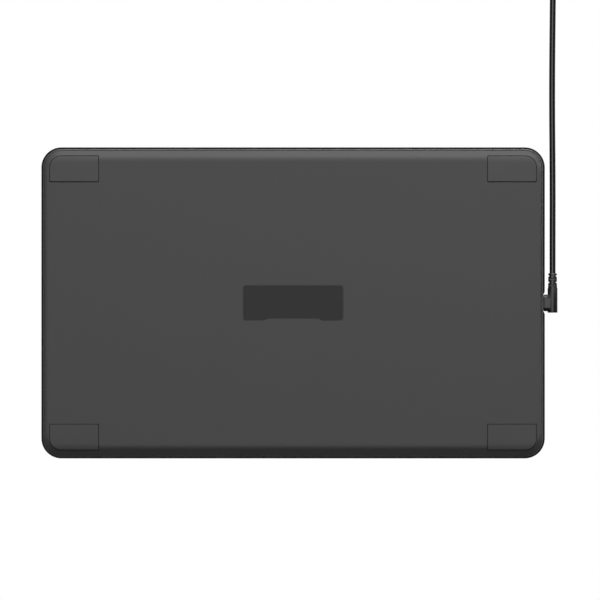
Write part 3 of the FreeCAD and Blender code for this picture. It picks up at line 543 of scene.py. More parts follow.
def clearPaint(name, colour, transmission, roughness, glow=0.0):  # status light and its pipe
    fixed = {"Transmission Weight": transmission, "IOR": clearSet["index"], "Emission Strength": glow}
    paint = Paint(name, colour, roughness, **fixed)
    haze, fine = paint.noise(clearSet["haze"]), paint.noise(clearSet["grain"])
    tone = paint.mix(haze, *shades(colour, clearSet["tones"]))
    paint.lay(tone, haze * 0.1 + fine * 0.05 + roughness, fine, clearSet["depth"])
    paint.feed("Emission Color", paint.mix(haze, shade(colour, clearSet["glowTone"]), colour))
    return paint


screwSet = {"wear": 0.7, "wornFrom": 0.62, "wornTone": 2.2, "scratches": (900, 9000, 2500), "depth": 0.006}


def screwPaint(name, colour, roughness):  # turned metal, worn brighter in patches
    paint = Paint(name, colour, roughness, 1.0)
    wear, scratches = paint.noise(screwSet["wear"], 4.0, 0.7), paint.streaks(screwSet["scratches"])
    worn = (wear > screwSet["wornFrom"]) * 0.6 + scratches * 0.3
    tone = paint.mix(worn, colour, shade(colour, screwSet["wornTone"]))
    paint.lay(tone, wear * 0.25 + (roughness - 0.1), scratches + wear * 0.5, screwSet["depth"])
    return paint


paints = {}


def buildPaints():
    paints.update({
        # the case colour carries painted shade in the pockets round the feet
        "case": mouldedPaint("casePlastic", colours["case"], 0.52, specular=0.3, over=shadedPockets),
        "front": frontPaint(),
        "foot": mouldedPaint("footPads", colours["foot"], 0.56, specular=0.3),
        "label": labelPaint(),
        "film": filmPaint(),
        "key": mouldedPaint("keycaps", colours["key"], 0.45),
        "plug": mouldedPaint("plugHousing", colours["plug"], 0.32, 0.5, 0.8),
        "relief": mouldedPaint("strainRelief", colours["relief"], 0.32, 0.5, 0.9),
        "steel": brushedPaint("plugSteel", (0.60, 0.60, 0.61), 0.26, (40, 900, 900)),
        "cord": mouldedPaint("cordJacket", colours["cord"], 0.14, 0.4, 1.0),
        "mainBoard": boardPaint("mainBoard", (0.006, 0.050, 0.024), 0.8, 0.34),
        "sensorBoard": sensorPaint(),
        "chip": chipPaint(),
        "smallParts": smallPartsPaint(),
        "shield": brushedPaint("shieldPlate", (0.50, 0.51, 0.53), 0.34, (25, 700, 700)),
        "can": brushedPaint("crystalCan", (0.68, 0.67, 0.63), 0.24, (300, 300, 300)),
        "foam": foamPaint(),
        "flex": flexPaint(),
        "connector": glassFilledPaint("connectorPlastic", (0.52, 0.48, 0.38)),
        "switch": glassFilledPaint("switchBody", (0.016, 0.016, 0.018)),
        "plunger": glassFilledPaint("switchPlunger", (0.33, 0.075, 0.040)),
        "receptacle": brushedPaint("receptacleSteel", (0.55, 0.55, 0.56), 0.3, (500, 60, 500)),
        "tongue": contactPaint("receptacleTongue", 0.5, 0.5, (0.012, 0.012, 0.013)),
        "plugCore": contactPaint("plugCore", 0.5, 0.44, (0.014, 0.014, 0.015)),
        "farCore": contactPaint("farPlugCore", 2.5, 0.45, (0.014, 0.014, 0.015)),
        "light": clearPaint("statusLight", (0.85, 0.88, 0.80), 0.3, 0.25, 0.4),
        "lightPipe": clearPaint("lightPipe", (0.90, 0.92, 0.93), 0.9, 0.12),
        "blackScrew": screwPaint("blackScrews", (0.055, 0.055, 0.058), 0.42),
        "zincScrew": screwPaint("zincScrews", (0.42, 0.43, 0.45), 0.34),
    })
    print("materials made:", len(paints))


# Modelling tools: outlines with round corners, in millimetres

cornerSigns = ((-1, -1), (1, -1), (1, 1), (-1, 1))
toolSet = {
    "weld": 0.0005,
    "sliceWithin": 0.0001,
    "tiny": 0.01,  # smaller gaps don't count
    "sharpFrom": 35.0,  # angle between faces, in degrees
    "softFrom": 40.0,
    "softSteps": 2,
    "halvings": 24,
}


def outline(halfX, halfY, radii, height=0.0, middle=(0, 0), steps=8):
    bm = bmesh.new()
    radii = radii if isinstance(radii, list) else [radii] * 4
    corners = [bm.verts.new((middle[0] + x * halfX, middle[1] + y * halfY, height)) for x, y in cornerSigns]
    bm.faces.new(corners)
    for corner, radius in zip(corners, radii):
        bmesh.ops.bevel(bm, geom=[corner], offset=radius, offset_type="OFFSET", segments=steps,
                        profile=0.5, affect="VERTICES", material=-1)
    return bm


def thicken(bm, height):
    made = bmesh.ops.extrude_face_region(bm, geom=bm.faces[:])["geom"]
    moved = [part for part in made if isinstance(part, bmesh.types.BMVert)]
    bmesh.ops.translate(bm, vec=(0, 0, height), verts=moved)
    bmesh.ops.holes_fill(bm, edges=bm.edges)
    return bm


def slab(halfX, halfY, radii, low, high, middle=(0, 0), steps=6):
    return thicken(outline(halfX, halfY, radii, low, middle, steps), high - low)


def disc(radius, low, high, middle, steps=6):
    return slab(radius, radius, radius - toolSet["tiny"], low, high, middle, steps)


def sliceBy(bm, place, normal):  # new edges where a plane meets the form
    parts = bm.verts[:] + bm.edges[:] + bm.faces[:]
    bmesh.ops.bisect_plane(bm, geom=parts, dist=toolSet["sliceWithin"], plane_co=place, plane_no=normal)


def quarterRound(edge, steps):  # insets and drops round a quarter circle, from the end face to the side
    angles = [math.pi / 2 * number / steps for number in range(steps + 1)]
    return [(edge * (1 - math.sin(angle)), edge * (1 - math.cos(angle))) for angle in angles]


def shrunk(size, inset, height):  # ring of a size, which is half length, half width and corner radius
    return (*(part - inset for part in size), height)


def ringPlace(point, before, after):  # the same place of the outline on the next ring
    place = []
    for axis in (0, 1):
        straight = before[axis] - before[2]
        share = max(0.0, abs(point[axis]) - straight) / before[2]
        place.append(math.copysign(after[axis] - after[2] + after[2] * share, point[axis]))
    return Vector((*place, after[3]))


def loft(rings, steps):  # closed form through rings of half length, half width, corner radius, height
    bm = outline(*rings[0][:3], rings[0][3], steps=steps)
    edges = bm.edges[:]
    for before, after in zip(rings, rings[1:]):
        made = bmesh.ops.extrude_edge_only(bm, edges=edges)["geom"]
        verts = {part for part in made if isinstance(part, bmesh.types.BMVert)}
        for vert in verts:
            vert.co = ringPlace(vert.co, before, after)
        lines = [part for part in made if isinstance(part, bmesh.types.BMEdge)]
        edges = [line for line in lines if set(line.verts) <= verts]
    bmesh.ops.edgenet_fill(bm, edges=edges)
    return bm


def addTo(target, *parts):
    for part in parts:
        mesh = meshOf("part", part)
        target.from_mesh(mesh)
        bpy.data.meshes.remove(mesh)
    return target


def held(bm, name):
    bmesh.ops.recalc_face_normals(bm, faces=bm.faces)
    return placed(name, meshOf(name, bm))


def carve(bm, cutter, operation="DIFFERENCE"):
    first, second = held(bm, "kept"), held(cutter, "tool")
    change = first.modifiers.new("carve", "BOOLEAN")
    change.object, change.operation, change.solver = second, operation, "EXACT"
    seen = first.evaluated_get(bpy.context.evaluated_depsgraph_get())
    mesh = bpy.data.meshes.new_from_object(seen)
    result = bmesh.new()
    result.from_mesh(mesh)
    for holder in (first, second):
        used = holder.data
        bpy.data.objects.remove(holder)
        bpy.data.meshes.remove(used)
    bpy.data.meshes.remove(mesh)
    return result


def dress(names, paint):
    for name in names:
        nodes[name].data.materials.clear()
        nodes[name].data.materials.append(paints[paint].material)


def finish(name, bm, paint, body, node, bevel=0.0, sharp=toolSet["sharpFrom"]):
    bmesh.ops.remove_doubles(bm, verts=bm.verts, dist=toolSet["weld"])
    bmesh.ops.recalc_face_normals(bm, faces=bm.faces)
    bmesh.ops.scale(bm, vec=(mm, mm, mm), verts=bm.verts)
    mesh = meshOf(name, bm)
    mesh.shade_smooth()
    mesh.set_sharp_from_angle(angle=math.radians(sharp))
    mesh.materials.append(paints[paint].material)
    piece = placed(name, mesh)
    if bevel:
        soften(piece, bevel)
    dress([node], paint)
    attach(piece, body)
    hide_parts(node)
    return piece


def soften(piece, width):
    edge = piece.modifiers.new("soft edge", "BEVEL")
    edge.width = width * mm
    edge.segments = toolSet["softSteps"]
    edge.limit_method = "ANGLE"
    edge.angle_limit = math.radians(toolSet["softFrom"])
    edge.harden_normals = True


# Covers

caseSet = {"halfLength": 175.9, "halfWidth": 108.7, "height": 8.6, "corner": 14.0, "cornerSteps": 14}
rearSet = {
    "inset": 2.35,
    "rollAcross": (3.5, 8.4),  # at the short and the long edges
    "rollFullness": 3.0,  # at the short edges the roll is fuller
    "rollStraight": 0.38,
    "bottom": 0.5,
    "rollTop": 3.2,
    "rollSteps": 14,
    "rim": 4.0,
    "wall": 2.5,
    "floor": 1.5,
    "floorInset": 1.0,
    "lipInset": 3.75,
    "lipTop": 5.2,
    "support": 0.8,  # a last ring of the flat underside, for smooth shading of the roll
}
portLip = {
    "reach": 5.0,  # half length of the plastic under the port
    "steps": [(173.6, 174.9, 3.3, 3.36), (173.87, 174.7, 3.1, 3.33)],  # near and far side, bottom and top
    "corner": 0.04,
    "cornerSteps": 2,
}
frontSet = {
    "side": [
        # inset and height, from the chamfer at the seam to the upright wall
        (2.05, 3.1), (1.3, 3.38), (0.95, 3.8), (0.62, 4.3),
        (0.36, 4.95), (0.16, 5.75), (0.04, 6.4), (0.0, 6.9),
    ],
    "topEdge": 0.7,
    "topEdgeSteps": 5,
    "topSupport": 1.0,
    "seamInset": 2.1,
    "seamTop": 4.0,
    "cavityInset": 3.6,
    "plateBottom": 7.2,
    "openings": (6.0, 10.0),  # from where to where the cutters of the upper side reach
    "lightHole": 1.1,
    "lightSteps": 10,
}


def caseRing(insetX, insetY, height):
    radius = caseSet["corner"] - insetX
    return (caseSet["halfLength"] - insetX, caseSet["halfWidth"] - insetY, radius, height)


def evenRing(inset, height):
    return caseRing(inset, inset, height)


def rollDrop(across):  # a straight slope that eases into the flat
    straight = rearSet["rollStraight"]
    easing = 1 - straight
    eased = max(0.0, across - straight) / easing
    curve = eased / 2 + math.sin(math.pi * eased) / (2 * math.pi)
    return (min(across, straight) + easing * curve) / (straight + easing / 2)


def rollRing(across):  # ring of the rolled underside, from 0 at the rim to 1 at the flat
    alongX, alongY = rearSet["rollAcross"]
    height = rearSet["rollTop"] - (rearSet["rollTop"] - rearSet["bottom"]) * rollDrop(across)
    fuller = across ** rearSet["rollFullness"]
    return caseRing(rearSet["inset"] + alongX * fuller, rearSet["inset"] + alongY * across, height)


def outsideBy(x, y, ring):  # distance to the ring, less than 0 inside it
    straightX, straightY = abs(x) - (ring[0] - ring[2]), abs(y) - (ring[1] - ring[2])
    corner = math.hypot(max(straightX, 0), max(straightY, 0))
    return corner + min(max(straightX, straightY), 0) - ring[2]


def undersideHeight(x, y):  # found by halving between the rim and the flat
    near, far = 0.0, 1.0
    if outsideBy(x, y, rollRing(far)) <= 0:
        return rearSet["bottom"]
    for _ in range(toolSet["halvings"]):
        across = (near + far) / 2
        if outsideBy(x, y, rollRing(across)) > 0:
            far = across
        else:
            near = across
    return rollRing(near)[3]


def drape(bm, offset):  # a flat outline laid on the underside, moved up or down
    for number in range(rearSet["rollSteps"] + 1):
        ring = rollRing(number / rearSet["rollSteps"])
        for axis, normal in enumerate(((1, 0, 0), (0, 1, 0))):
            for side in (-1, 1):
                sliceBy(bm, Vector(normal) * (side * ring[axis]), normal)
    for vert in bm.verts:
        vert.co.z = undersideHeight(vert.co.x, vert.co.y) + offset
    return bm


footSet = {
    "half": (16.9, 8.85),
    "middle": (152.85, 93.7),
    "outerRadius": 7.85,
    "innerRadius": 0.7,
    "cornerSteps": 10,
    "gap": 0.4,
    "pocket": 0.6,
    "cutFrom": -2.0,  # where the pocket's cutter starts
    "proud": 0.5,
    "edge": 0.25,
    "shrunk": 0.04,  # the foot against its solid, so that no faces coincide
    "seatGap": 0.01,
}


def footOutline(signX, signY, grown):
    radii = [footSet["innerRadius"] + grown] * 4
    radii[cornerSigns.index((signX, signY))] = footSet["outerRadius"] + grown
    middle = (signX * footSet["middle"][0], signY * footSet["middle"][1])
    halfX, halfY = (half + grown for half in footSet["half"])
    return outline(halfX, halfY, radii, 0, middle, footSet["cornerSteps"])


def footForm(signX, signY, grown, low, high):
    return thicken(drape(footOutline(signX, signY, grown), low), high - low)


labelSet = {
    "half": (35.1, 12.35),
    "radius": 2.4,
    "notchHalf": (20.8, 18.0, 1.4),  # mouth, end, depth
    "recess": 0.4,
    "cutFrom": -1.0,
    "thickness": 0.3,
    "gap": 0.15,
    "edge": 0.08,
}


def labelForm(grown, low, high):
    halfX, halfY = (half + grown for half in labelSet["half"])
    bm = outline(halfX, halfY, labelSet["radius"] + grown, low)
    mouth, end, deep = labelSet["notchHalf"]
    for x in (-mouth, -end, end, mouth):
        sliceBy(bm, (x - math.copysign(grown, x), 0, 0), (1, 0, 0))
    near = [vert for vert in bm.verts if vert.co.y < 0]
    raised = [vert for vert in near if abs(abs(vert.co.x) - end + grown) < toolSet["tiny"]]
    bmesh.ops.translate(bm, vec=(0, deep, 0), verts=raised)
    return thicken(bm, high - low)


socketSet = {
    "z": 4.98,
    "slotHalf": (4.65, 1.76),
    "slotDeep": 5.0,
    "slotSteps": 10,
    "mouth": 7.784,  # half widths of the notch in the rim, at its mouth and at its floor
    "floor": 5.85,
    "deep": 1.04,
    "outside": 2.0,  # how far the cutters reach out of the case
    "upTo": 12.0,  # how high the notch's cutter reaches
}


def laid(bm, place, *turns):  # a form turned about axes and then set down at a place
    matrix = Matrix.Translation(place)
    for angle, axis in turns:
        matrix @= Matrix.Rotation(angle, 4, axis)
    bmesh.ops.transform(bm, matrix=matrix, verts=bm.verts)
    return bm


def alongX(bm, start, y, z):  # a form made along z, laid along x
    return laid(bm, (start, y, z), (math.pi / 2, "Y"), (math.pi / 2, "Z"))


def wedge(foot, mouth, reach, half):  # a notch cutter along x, from its narrow foot to its wide mouth
    bm = bmesh.new()
    bmesh.ops.create_cube(bm, size=1.0, matrix=Matrix.Diagonal((reach, 1, half * 2, 1)))
    for vert in bm.verts:
        vert.co.y *= mouth if vert.co.x > 0 else foot
        vert.co.x += reach / 2
    return bm


def socketSlot():
    halfY, halfZ = socketSet["slotHalf"]
    outside, steps = socketSet["outside"], socketSet["slotSteps"]
    slot = slab(halfY, halfZ, halfZ - toolSet["tiny"], 0, outside + socketSet["slotDeep"], steps=steps)
    return alongX(slot, -caseSet["halfLength"] - outside, 0, socketSet["z"])


def notchForm():
    deep, floor = socketSet["deep"], socketSet["floor"]
    reach = deep + socketSet["outside"]
    mouth = floor + (socketSet["mouth"] - floor) * reach / deep
    bm = wedge(2 * floor, 2 * mouth, reach, socketSet["upTo"])
    return laid(bm, (deep - caseSet["halfLength"], 0, 0), (math.pi, "Z"))


ribSet = {
    "rows": (-66.0, -22.0, 22.0, 66.0),
    "columnStep": 50.0,
    "ends": (-105.0, 151.0),
    "half": 0.5,
    "corner": 0.1,
    "low": 1.6,
    "rowTop": 4.2,
    "columnTop": 3.6,
    "columnReach": 79.2,
    "boss": (158.0, 94.5, 3.25, 3.1),  # place, radius and top
    "bossBore": (1.1, 1.3),  # radius and floor
    "bossSteps": 8,
    "past": 1.0,  # how far the bore's cutter reaches past the boss
}


def rib(x, y, halfX, halfY, top):  # a thin upright wall
    return slab(halfX, halfY, ribSet["corner"], ribSet["low"], top, (x, y), 1)


def addRibs(bm):
    left, right = ribSet["ends"]
    half, reach, step = ribSet["half"], ribSet["columnReach"], ribSet["columnStep"]
    for y in ribSet["rows"]:
        row = rib((left + right) / 2, y, (right - left) / 2, half, ribSet["rowTop"])
        bm = carve(bm, row, "UNION")
    for number in range(int((right - left) / step) + 1):
        x = left + 2 * half + step * number
        bm = carve(bm, rib(x, 0, half, reach, ribSet["columnTop"]), "UNION")
    x, y, radius, top = ribSet["boss"]
    bore, boreFloor = ribSet["bossBore"]
    for signX, signY in cornerSigns:
        middle = (signX * x, signY * y)
        bm = carve(bm, disc(radius, ribSet["low"], top, middle, ribSet["bossSteps"]), "UNION")
        bm = carve(bm, disc(bore, boreFloor, top + ribSet["past"], middle))
    return bm


def makeRearCover():
    steps, support, floorInset = rearSet["rollSteps"], rearSet["support"], rearSet["floorInset"]
    flatX, flatY, flatCorner, bottom = rollRing(1.0)
    inner = rearSet["inset"] + rearSet["wall"]
    rings = [(flatX - support, flatY - support, flatCorner, bottom)]
    rings += [rollRing(1 - number / steps) for number in range(steps + 1)]
    rings.append(evenRing(rearSet["inset"], rearSet["rim"]))
    rings += [evenRing(rearSet["lipInset"], height) for height in (rearSet["rim"], rearSet["lipTop"])]
    rings += [evenRing(inner, height) for height in (rearSet["lipTop"], rearSet["rollTop"])]
    corner = rings[-1][2]
    rings.append((flatX - floorInset, flatY - floorInset, corner, bottom + rearSet["floor"]))
    bm = loft(rings, caseSet["cornerSteps"])
    for signX, signY in cornerSigns:
        bm = carve(bm, footForm(signX, signY, footSet["gap"], footSet["cutFrom"], footSet["pocket"]))
    bm = carve(bm, labelForm(labelSet["gap"], labelSet["cutFrom"], bottom + labelSet["recess"]))
    bm = addRibs(carve(bm, socketSlot()))
    finish("rearCover", bm, "case", "root", "rear_cover")


def makeFrontCover():
    top, edge = caseSet["height"], frontSet["topEdge"]
    seamInset, seamTop = frontSet["seamInset"], frontSet["seamTop"]
    rings = [evenRing(edge + frontSet["topSupport"], top)]
    rings += [evenRing(inset, top - drop) for inset, drop in quarterRound(edge, frontSet["topEdgeSteps"])]
    rings += [evenRing(*place) for place in reversed(frontSet["side"])]
    rings += [evenRing(seamInset, frontSet["side"][0][1]), evenRing(seamInset, seamTop)]
    rings += [evenRing(frontSet["cavityInset"], height) for height in (seamTop, frontSet["plateBottom"])]
    bm = loft(rings, caseSet["cornerSteps"])

    low, high = frontSet["openings"]
    half = [side + filmSet["gap"] for side in filmSet["half"]]
    middle, steps = (filmSet["middle"], 0), filmSet["cornerSteps"]
    bm = carve(bm, slab(*half, filmSet["radius"], filmSet["bottom"], high, middle, steps))
    half = [side + keySet["gap"] for side in keySet["half"]]
    corner = keySet["corner"] + keySet["gap"]
    holes = [slab(*half, corner, low, high, (keySet["x"], y)) for y in keySet["places"]]
    holes.append(disc(frontSet["lightHole"], low, high, (keySet["x"], 0), frontSet["lightSteps"]))
    bm = carve(bm, addTo(bmesh.new(), *holes))
    bm = carve(bm, notchForm())
    bm = carve(bm, socketSlot())
    reach, corner, steps = portLip["reach"], portLip["corner"], portLip["cornerSteps"]
    for near, far, low, high in portLip["steps"]:
        middle = (-(near + far) / 2, 0)
        lip = slab((far - near) / 2, reach, corner, low, high, middle, steps)
        bm = carve(bm, lip, "UNION")
    finish("frontCover", bm, "front", "root", "front_cover")


def makeFeet():
    ends = {1: "rear", -1: "front"}
    sides = {-1: "left", 1: "right"}
    for signX, signY in cornerSigns:
        end, side = ends[signY], sides[signX]
        high = footSet["pocket"] - footSet["seatGap"]
        bm = footForm(signX, signY, -footSet["shrunk"], -footSet["proud"], high)
        name = f"foot{end.title()}{side.title()}"
        finish(name, bm, "foot", "root", f"foot_{end}_{side}", footSet["edge"])


def makeLabel():
    top = rearSet["bottom"] + labelSet["recess"]
    bm = labelForm(0.0, top - labelSet["thickness"], top)
    finish("labelPlate", bm, "label", "root", "label_plate", labelSet["edge"])


def makeFilm():
    middle, steps = (filmSet["middle"], 0), filmSet["cornerSteps"]
    bm = slab(*filmSet["half"], filmSet["radius"], filmSet["bottom"], caseSet["height"], middle, steps)
    finish("drawingFilm", bm, "film", "root", "drawing_film", filmSet["edge"])


keySet = {
    "x": -153.0,
    "places": (64.0, 51.0, 38.0, 25.0, -25.0, -38.0, -51.0, -64.0),
    "half": (7.5, 4.0),
    "corner": 1.4,
    "gap": 0.2,
    "top": 8.9,
    # the dish of the top: insets along and across, corner radius and depth
    "dish": ((4.0, 2.8, 0.8, 0.12), (2.0, 1.4, 1.0, 0.06), (0.8, 0.8, 0.9, 0.01)),
    "edge": 0.3,
    "edgeSteps": 4,
    "cornerSteps": 6,
    "flange": (8.3, 4.8, 0.4),  # half length, half width and corner radius
    "flangeEnds": (6.5, 7.1),
    "post": (1.6, 1.6, 0.2),
    "postLow": 5.9,
}


def makeKeys():
    (halfX, halfY), corner, top = keySet["half"], keySet["corner"], keySet["top"]
    cap, flange, post = (halfX, halfY, corner), keySet["flange"], keySet["post"]
    flangeLow, flangeTop = keySet["flangeEnds"]
    edge = quarterRound(keySet["edge"], keySet["edgeSteps"])
    rings = [(halfX - x, halfY - y, radius, top - deep) for x, y, radius, deep in keySet["dish"]]
    rings += [shrunk(cap, inset, top - drop) for inset, drop in edge]
    rings += [(*cap, flangeTop), (*flange, flangeTop), (*flange, flangeLow), (*post, flangeLow)]
    rings.append((*post, keySet["postLow"]))
    for number, y in enumerate(keySet["places"], 1):
        bm = laid(loft(rings, keySet["cornerSteps"]), (keySet["x"], y, 0))
        finish(f"keycap{number}", bm, "key", f"key_{number}", f"keycap_{number}")


def turned(profile, steps=40):  # a closed form of radius and height pairs, spun round z
    bm = bmesh.new()
    verts = [bm.verts.new((radius, 0, height)) for radius, height in profile]
    edges = [bm.edges.new(pair) for pair in zip(verts, verts[1:])]
    bmesh.ops.spin(bm, geom=verts + edges, cent=(0, 0, 0), axis=(0, 0, 1), angle=math.tau,
                   steps=steps, use_merge=True)
    bmesh.ops.remove_doubles(bm, verts=bm.verts, dist=toolSet["weld"])
    return bm


def alongY(bm, x, start, z):  # a form made along z, laid along y
    return laid(bm, (x, start, z), (-math.pi / 2, "X"))


def roundedEnd(radius, height, edge, steps=4):  # radius and height pairs round a turned edge
    return [(radius - inset, height + drop) for inset, drop in quarterRound(edge, steps)]


def roundedTop(radius, height, edge, steps=4):
    return [(radius - inset, height - drop) for inset, drop in reversed(quarterRound(edge, steps))]


def shellForm(size, wall, length, ease, base, steps):  # a plug's metal shell, open at its far end
    back, drop = ease
    rings = [(*size, 0), (*size, length - drop), shrunk(size, back, length)]
    rings += [shrunk(size, wall, length), shrunk(size, wall, base)]
    return loft(rings, steps)


plugSet = {
    "x": -181.25,
    "radius": 3.45,
    "ends": (-6.85, 10.4),
    "edges": (0.45, 0.25),  # of the barrel's two ends
    "sharpFrom": 50.0,
    "nose": (5.86, 3.1, 3.05),  # half width, half height and corner radius
    "noseEnd": -174.95,
    "noseEdge": 0.75,
    "noseEdgeSteps": 4,
    "noseSteps": 10,
    "shell": {
        "size": (4.125, 1.2, 1.18),
        "wall": 0.28,
        "length": 6.65,
        "ease": (0.1, 0.15),  # inset and length of the edge at the open end
        "base": 0.5,  # where the floor stands
        "steps": 10,
    },
}
reliefSet = {
    "radii": (3.15, 3.0),
    "ends": (10.4, 20.7),
    "tipEdge": 0.6,
    "tipSteps": 5,
    "turnSteps": 48,
    "notches": (12.05, 14.30, 16.55, 18.81),
    "notchInner": 2.25,
    "notch": (0.7, 1.7, 3.0, 4.0),  # width at the foot and at the mouth, reach, half length
    "edge": 0.12,
}


def cablePiece(name, bm, paint, node, bevel=0.0, sharp=toolSet["sharpFrom"]):
    finish(name, bm, paint, "cable", node, bevel, sharp)


def makeSocketPlug():
    x, z, radius = plugSet["x"], socketSet["z"], plugSet["radius"]
    (low, high), (lowEdge, highEdge) = plugSet["ends"], plugSet["edges"]
    profile = [(0, low), *roundedEnd(radius, low, lowEdge), *roundedTop(radius, high, highEdge), (0, high)]
    barrel = alongY(turned(profile), x, 0, z)
    length = plugSet["noseEnd"] - x
    rings = [(*plugSet["nose"], 0)]
    for inset, drop in reversed(quarterRound(plugSet["noseEdge"], plugSet["noseEdgeSteps"])):
        rings.append(shrunk(plugSet["nose"], inset, length - drop))
    nose = alongX(loft(rings, plugSet["noseSteps"]), x, 0, z)
    housing = carve(barrel, nose, "UNION")
    cablePiece("plugHousing", housing, "plug", "usb_c_plug_housing", sharp=plugSet["sharpFrom"])

    rootRadius, tipRadius = reliefSet["radii"]
    low, high = reliefSet["ends"]
    tip = roundedTop(tipRadius, high, reliefSet["tipEdge"], reliefSet["tipSteps"])
    sleeve = alongY(turned([(0, low), (rootRadius, low), *tip, (0, high)], reliefSet["turnSteps"]), x, 0, z)
    for number, y in enumerate(reliefSet["notches"]):
        for side in (0, 2):  # on two sides each, and on the other two at the next place
            cutter = laid(wedge(*reliefSet["notch"]), (reliefSet["notchInner"], 0, 0))
            quarters = side + 1 - number % 2
            sleeve = carve(sleeve, laid(cutter, (x, y, z), (math.pi / 2 * quarters, "Y")))
    cablePiece("plugRelief", sleeve, "relief", "usb_c_strain_relief", reliefSet["edge"])

    shell = alongX(shellForm(**plugSet["shell"]), plugSet["noseEnd"], 0, z)
    cablePiece("plugShell", shell, "steel", "usb_c_plug_shell")


farPlugSet = {
    "end": (-94.05, 284.5, 4.0),  # where the tail runs into the relief
    "relief": (2.8, 3.4, 10.0),  # radius at the tip and at the root, length
    "tipEdge": 0.4,
    "grooves": (2.0, 4.0, 6.0, 8.0),
    "groove": (0.55, 0.35),  # half width and depth
    "housing": (7.8, 4.0, 2.0, 27.0),  # half width, half height, corner radius and length
    "edge": 1.0,
    "edgeSteps": 5,
    "edgeCorner": 0.6,  # the share of the inset that the corner radius loses
    "mouthEdge": ((0.0, 0.4), (0.1, 0.1), (0.4, 0.0)),  # inset and distance from the end
    "housingSteps": 8,
    "soft": 0.15,
    "panel": (9.0, 4.4, 1.6),  # half length, half width and corner radius of the sunk panels
    "panelDepth": 0.35,
    "shell": {
        "size": (6.0, 2.25, 0.5),
        "wall": 0.3,
        "length": 12.0,
        "ease": (0.08, 0.1),
        "base": 0.3,
        "steps": 4,
    },
    "window": (1.1, 1.1, 0.2),
    "windowPlace": (2.9, 4.5),  # from the middle and from the open end
    "past": 1.0,  # how far the cutters reach past a face
}


def makeFarPlug():
    x, y, z = farPlugSet["end"]
    past = farPlugSet["past"]
    tip, root, length = farPlugSet["relief"]
    halfGroove, depth = farPlugSet["groove"]
    profile = [(0, 0), *roundedEnd(tip, 0, farPlugSet["tipEdge"])]
    for place in farPlugSet["grooves"]:
        radius = tip + (root - tip) * place / length
        profile += [(radius, place - halfGroove), (radius - depth, place - halfGroove / 2)]
        profile += [(radius - depth, place + halfGroove / 2), (radius, place + halfGroove)]
    profile += [(root, length), (0, length)]
    cablePiece("farRelief", alongX(turned(profile), x, y, z), "relief", "usb_a_strain_relief")

    halfY, halfZ, corner, long = farPlugSet["housing"]
    rings = []
    for inset, drop in quarterRound(farPlugSet["edge"], farPlugSet["edgeSteps"]):
        rings.append((halfY - inset, halfZ - inset, corner - inset * farPlugSet["edgeCorner"], drop))
    rings += [(halfY - inset, halfZ - inset, corner, long - back) for inset, back in farPlugSet["mouthEdge"]]
    body = alongX(loft(rings, farPlugSet["housingSteps"]), x + length, y, z)
    for side in (-1, 1):
        low, high = sorted((z + side * (halfZ - farPlugSet["panelDepth"]), z + side * (halfZ + past)))
        body = carve(body, slab(*farPlugSet["panel"], low, high, (x + length + long / 2, y)))
    cablePiece("farHousing", body, "plug", "usb_a_plug_housing", farPlugSet["soft"])

    start = x + length + long
    shell = alongX(shellForm(**farPlugSet["shell"]), start, y, z)
    reach = farPlugSet["shell"]["size"][1] + past
    spread, back = farPlugSet["windowPlace"]
    for side in (-1, 1):
        middle = (start + farPlugSet["shell"]["length"] - back, y + side * spread)
        shell = carve(shell, slab(*farPlugSet["window"], z - reach, z + reach, middle))
    cablePiece("farShell", shell, "steel", "usb_a_plug_shell")


buildPaints()
makeRearCover()
makeFrontCover()
makeFeet()
makeLabel()
makeFilm()
makeKeys()
makeSocketPlug()
makeFarPlug()
print("covers, feet, label, film, keys and plugs made")


# Cable: one cord from the strain relief, along the desk, through the coil to the far plug

cordSet = {
    "diameter": 4.2,
    "length": 1452.0,
    "coilRadius": 33.0,
    "coilPitch": 4.4,
    "layerRise": 4.4,
    "turns": 7.25,
    "turnsIn": 3.5,  # after which the upper layer runs out again
    "climbTurns": 0.5,
    "pointsPerTurn": 16,
    # places after the strain relief at the plug's height, places on the desk, and the start of the coil
    "freeHigh": ((0.0, 0.0), (0.0, 22.0)),
    "freeLow": ((0.0, 66.0), (0.5, 124.0), (0.0, 182.0)),
    "coilFrom": 227.0,
    # places after the coil, on the desk and at the far plug's height
    "tailLow": (13.0, 0.0),
    "tailHigh": ((37.0, -1.5), (50.0, -1.5)),
    "curveOrder": 3,
    "stepsBetween": 8,
    "sides": 5,
}


def coilPoint(turns, middle):
    outwards = max(0.0, turns - cordSet["turnsIn"])
    radius = cordSet["coilRadius"] - cordSet["coilPitch"] * (min(turns, cordSet["turnsIn"]) - outwards)
    radius /= math.cos(math.pi / cordSet["pointsPerTurn"])  # the curve runs a little inside its points
    climbed = min(1.0, max(0.0, (turns - cordSet["turnsIn"]) / cordSet["climbTurns"] + 0.5))
    height = cordSet["layerRise"] * (1 - math.cos(math.pi * climbed)) / 2
    angle = math.pi * (1 - 2 * turns)
    return middle + Vector((radius * math.cos(angle), radius * math.sin(angle), height))


def middleHeight(name):
    low, high = boxOf(name)
    return (low.z + high.z) / 2


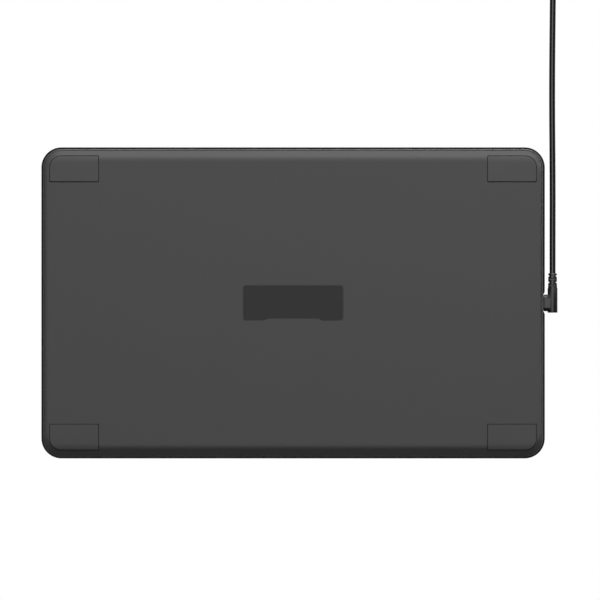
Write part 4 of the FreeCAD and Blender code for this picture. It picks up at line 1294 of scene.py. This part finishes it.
def cordPoints():
    low, high = boxOf("usb_c_strain_relief")
    start = Vector(((low.x + high.x) / 2, high.y, 0))
    lead, lying = cordSet["diameter"], cordSet["diameter"] / 2
    plugHeight = middleHeight("usb_c_strain_relief")
    points = [start + Vector((*place, plugHeight)) for place in cordSet["freeHigh"]]
    points += [start + Vector((*place, lying)) for place in cordSet["freeLow"]]
    middle = start + Vector((cordSet["coilRadius"], cordSet["coilFrom"] + lead, lying))
    steps = round(cordSet["turns"] * cordSet["pointsPerTurn"])
    points += [coilPoint(number / cordSet["pointsPerTurn"], middle) for number in range(steps + 1)]
    leaving = points[-1] + Vector((lead, 0, 0))
    farHeight = middleHeight("usb_a_plug_housing")
    tail = [(*cordSet["tailLow"], leaving.z)] + [(*place, farHeight) for place in cordSet["tailHigh"]]
    points += [Vector((leaving.x + x, leaving.y + y, z)) for x, y, z in tail]
    return points


def makeCord():
    points = cordPoints()
    curve = bpy.data.curves.new("cord", "CURVE")
    curve.dimensions = "3D"
    spline = curve.splines.new("NURBS")
    spline.points.add(len(points) - 1)
    for knot, point in zip(spline.points, points):
        knot.co = (*(point * mm), 1)
    spline.order_u = cordSet["curveOrder"]
    spline.use_endpoint_u = True
    spline.resolution_u = cordSet["stepsBetween"]
    curve.bevel_depth = cordSet["diameter"] / 2 * mm
    curve.bevel_resolution = cordSet["sides"]
    curve.use_fill_caps = True
    cord = placed("cord", curve)
    curve.materials.append(paints["cord"].material)
    dress(["cord_free", "cord_coil", "cord_tail"], "cord")
    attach(cord, "cable")
    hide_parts("cord_free", "cord_coil", "cord_tail")


makeCord()
print("cord laid")


nodeFinish = {
    # pieces of the frame that show their own shape, and what each is finished with
    "sensor_board": "sensorBoard",
    "shield_plate": "shield",
    "foam_strips": "foam",
    "main_board": "mainBoard",
    "controller_chip": "chip",
    "crystal": "can",
    "board_components": "smallParts",
    "board_connector": "connector",
    "sensor_connector": "connector",
    "sensor_flex": "flex",
    "status_led": "light",
    "light_pipe": "lightPipe",
    "key_switch_bodies": "switch",
    "switch_plunger": "plunger",  # all eight
    "usb_c_receptacle_shell": "receptacle",
    "usb_c_receptacle_tongue": "tongue",
    "case_screws": "blackScrew",
    "board_screws": "zincScrew",
    "usb_c_plug_core": "plugCore",
    "usb_a_plug_core": "farCore",
}


def dressNodes():
    for start, paint in nodeFinish.items():
        dress([name for name in nodes if name.startswith(start)], paint)
    print("nodes dressed:", len(nodes))


dressNodes()


def makeFloor():
    bm = bmesh.new()
    bmesh.ops.create_grid(bm, x_segments=1, y_segments=1, size=floorSet["size"] / 2 * mm)
    mesh = meshOf("floor", bm)
    floor = placed("floor", mesh)
    floor.location.z = floorSet["height"] * mm
    glow = {"Emission Color": (1, 1, 1, 1), "Emission Strength": floorSet["glow"]}
    paint = Paint("paleFloor", (floorSet["grey"],) * 3, floorSet["roughness"], **glow)
    fromBelow = paint.node("ShaderNodeNewGeometry", {}, {}, "Backfacing")  # never hides the underside
    clear = paint.node("ShaderNodeBsdfTransparent", {}, {})
    pale = Signal(paint, paint.surface.outputs[0])
    oneSided = paint.node("ShaderNodeMixShader", {}, [fromBelow, pale, clear])
    paint.join(oneSided, paint.tree.nodes["Material Output"].inputs["Surface"])
    mesh.materials.append(paint.material)
    for ray in ("shadow", "diffuse", "glossy", "transmission"):
        setattr(floor, f"visible_{ray}", False)


makeFloor()
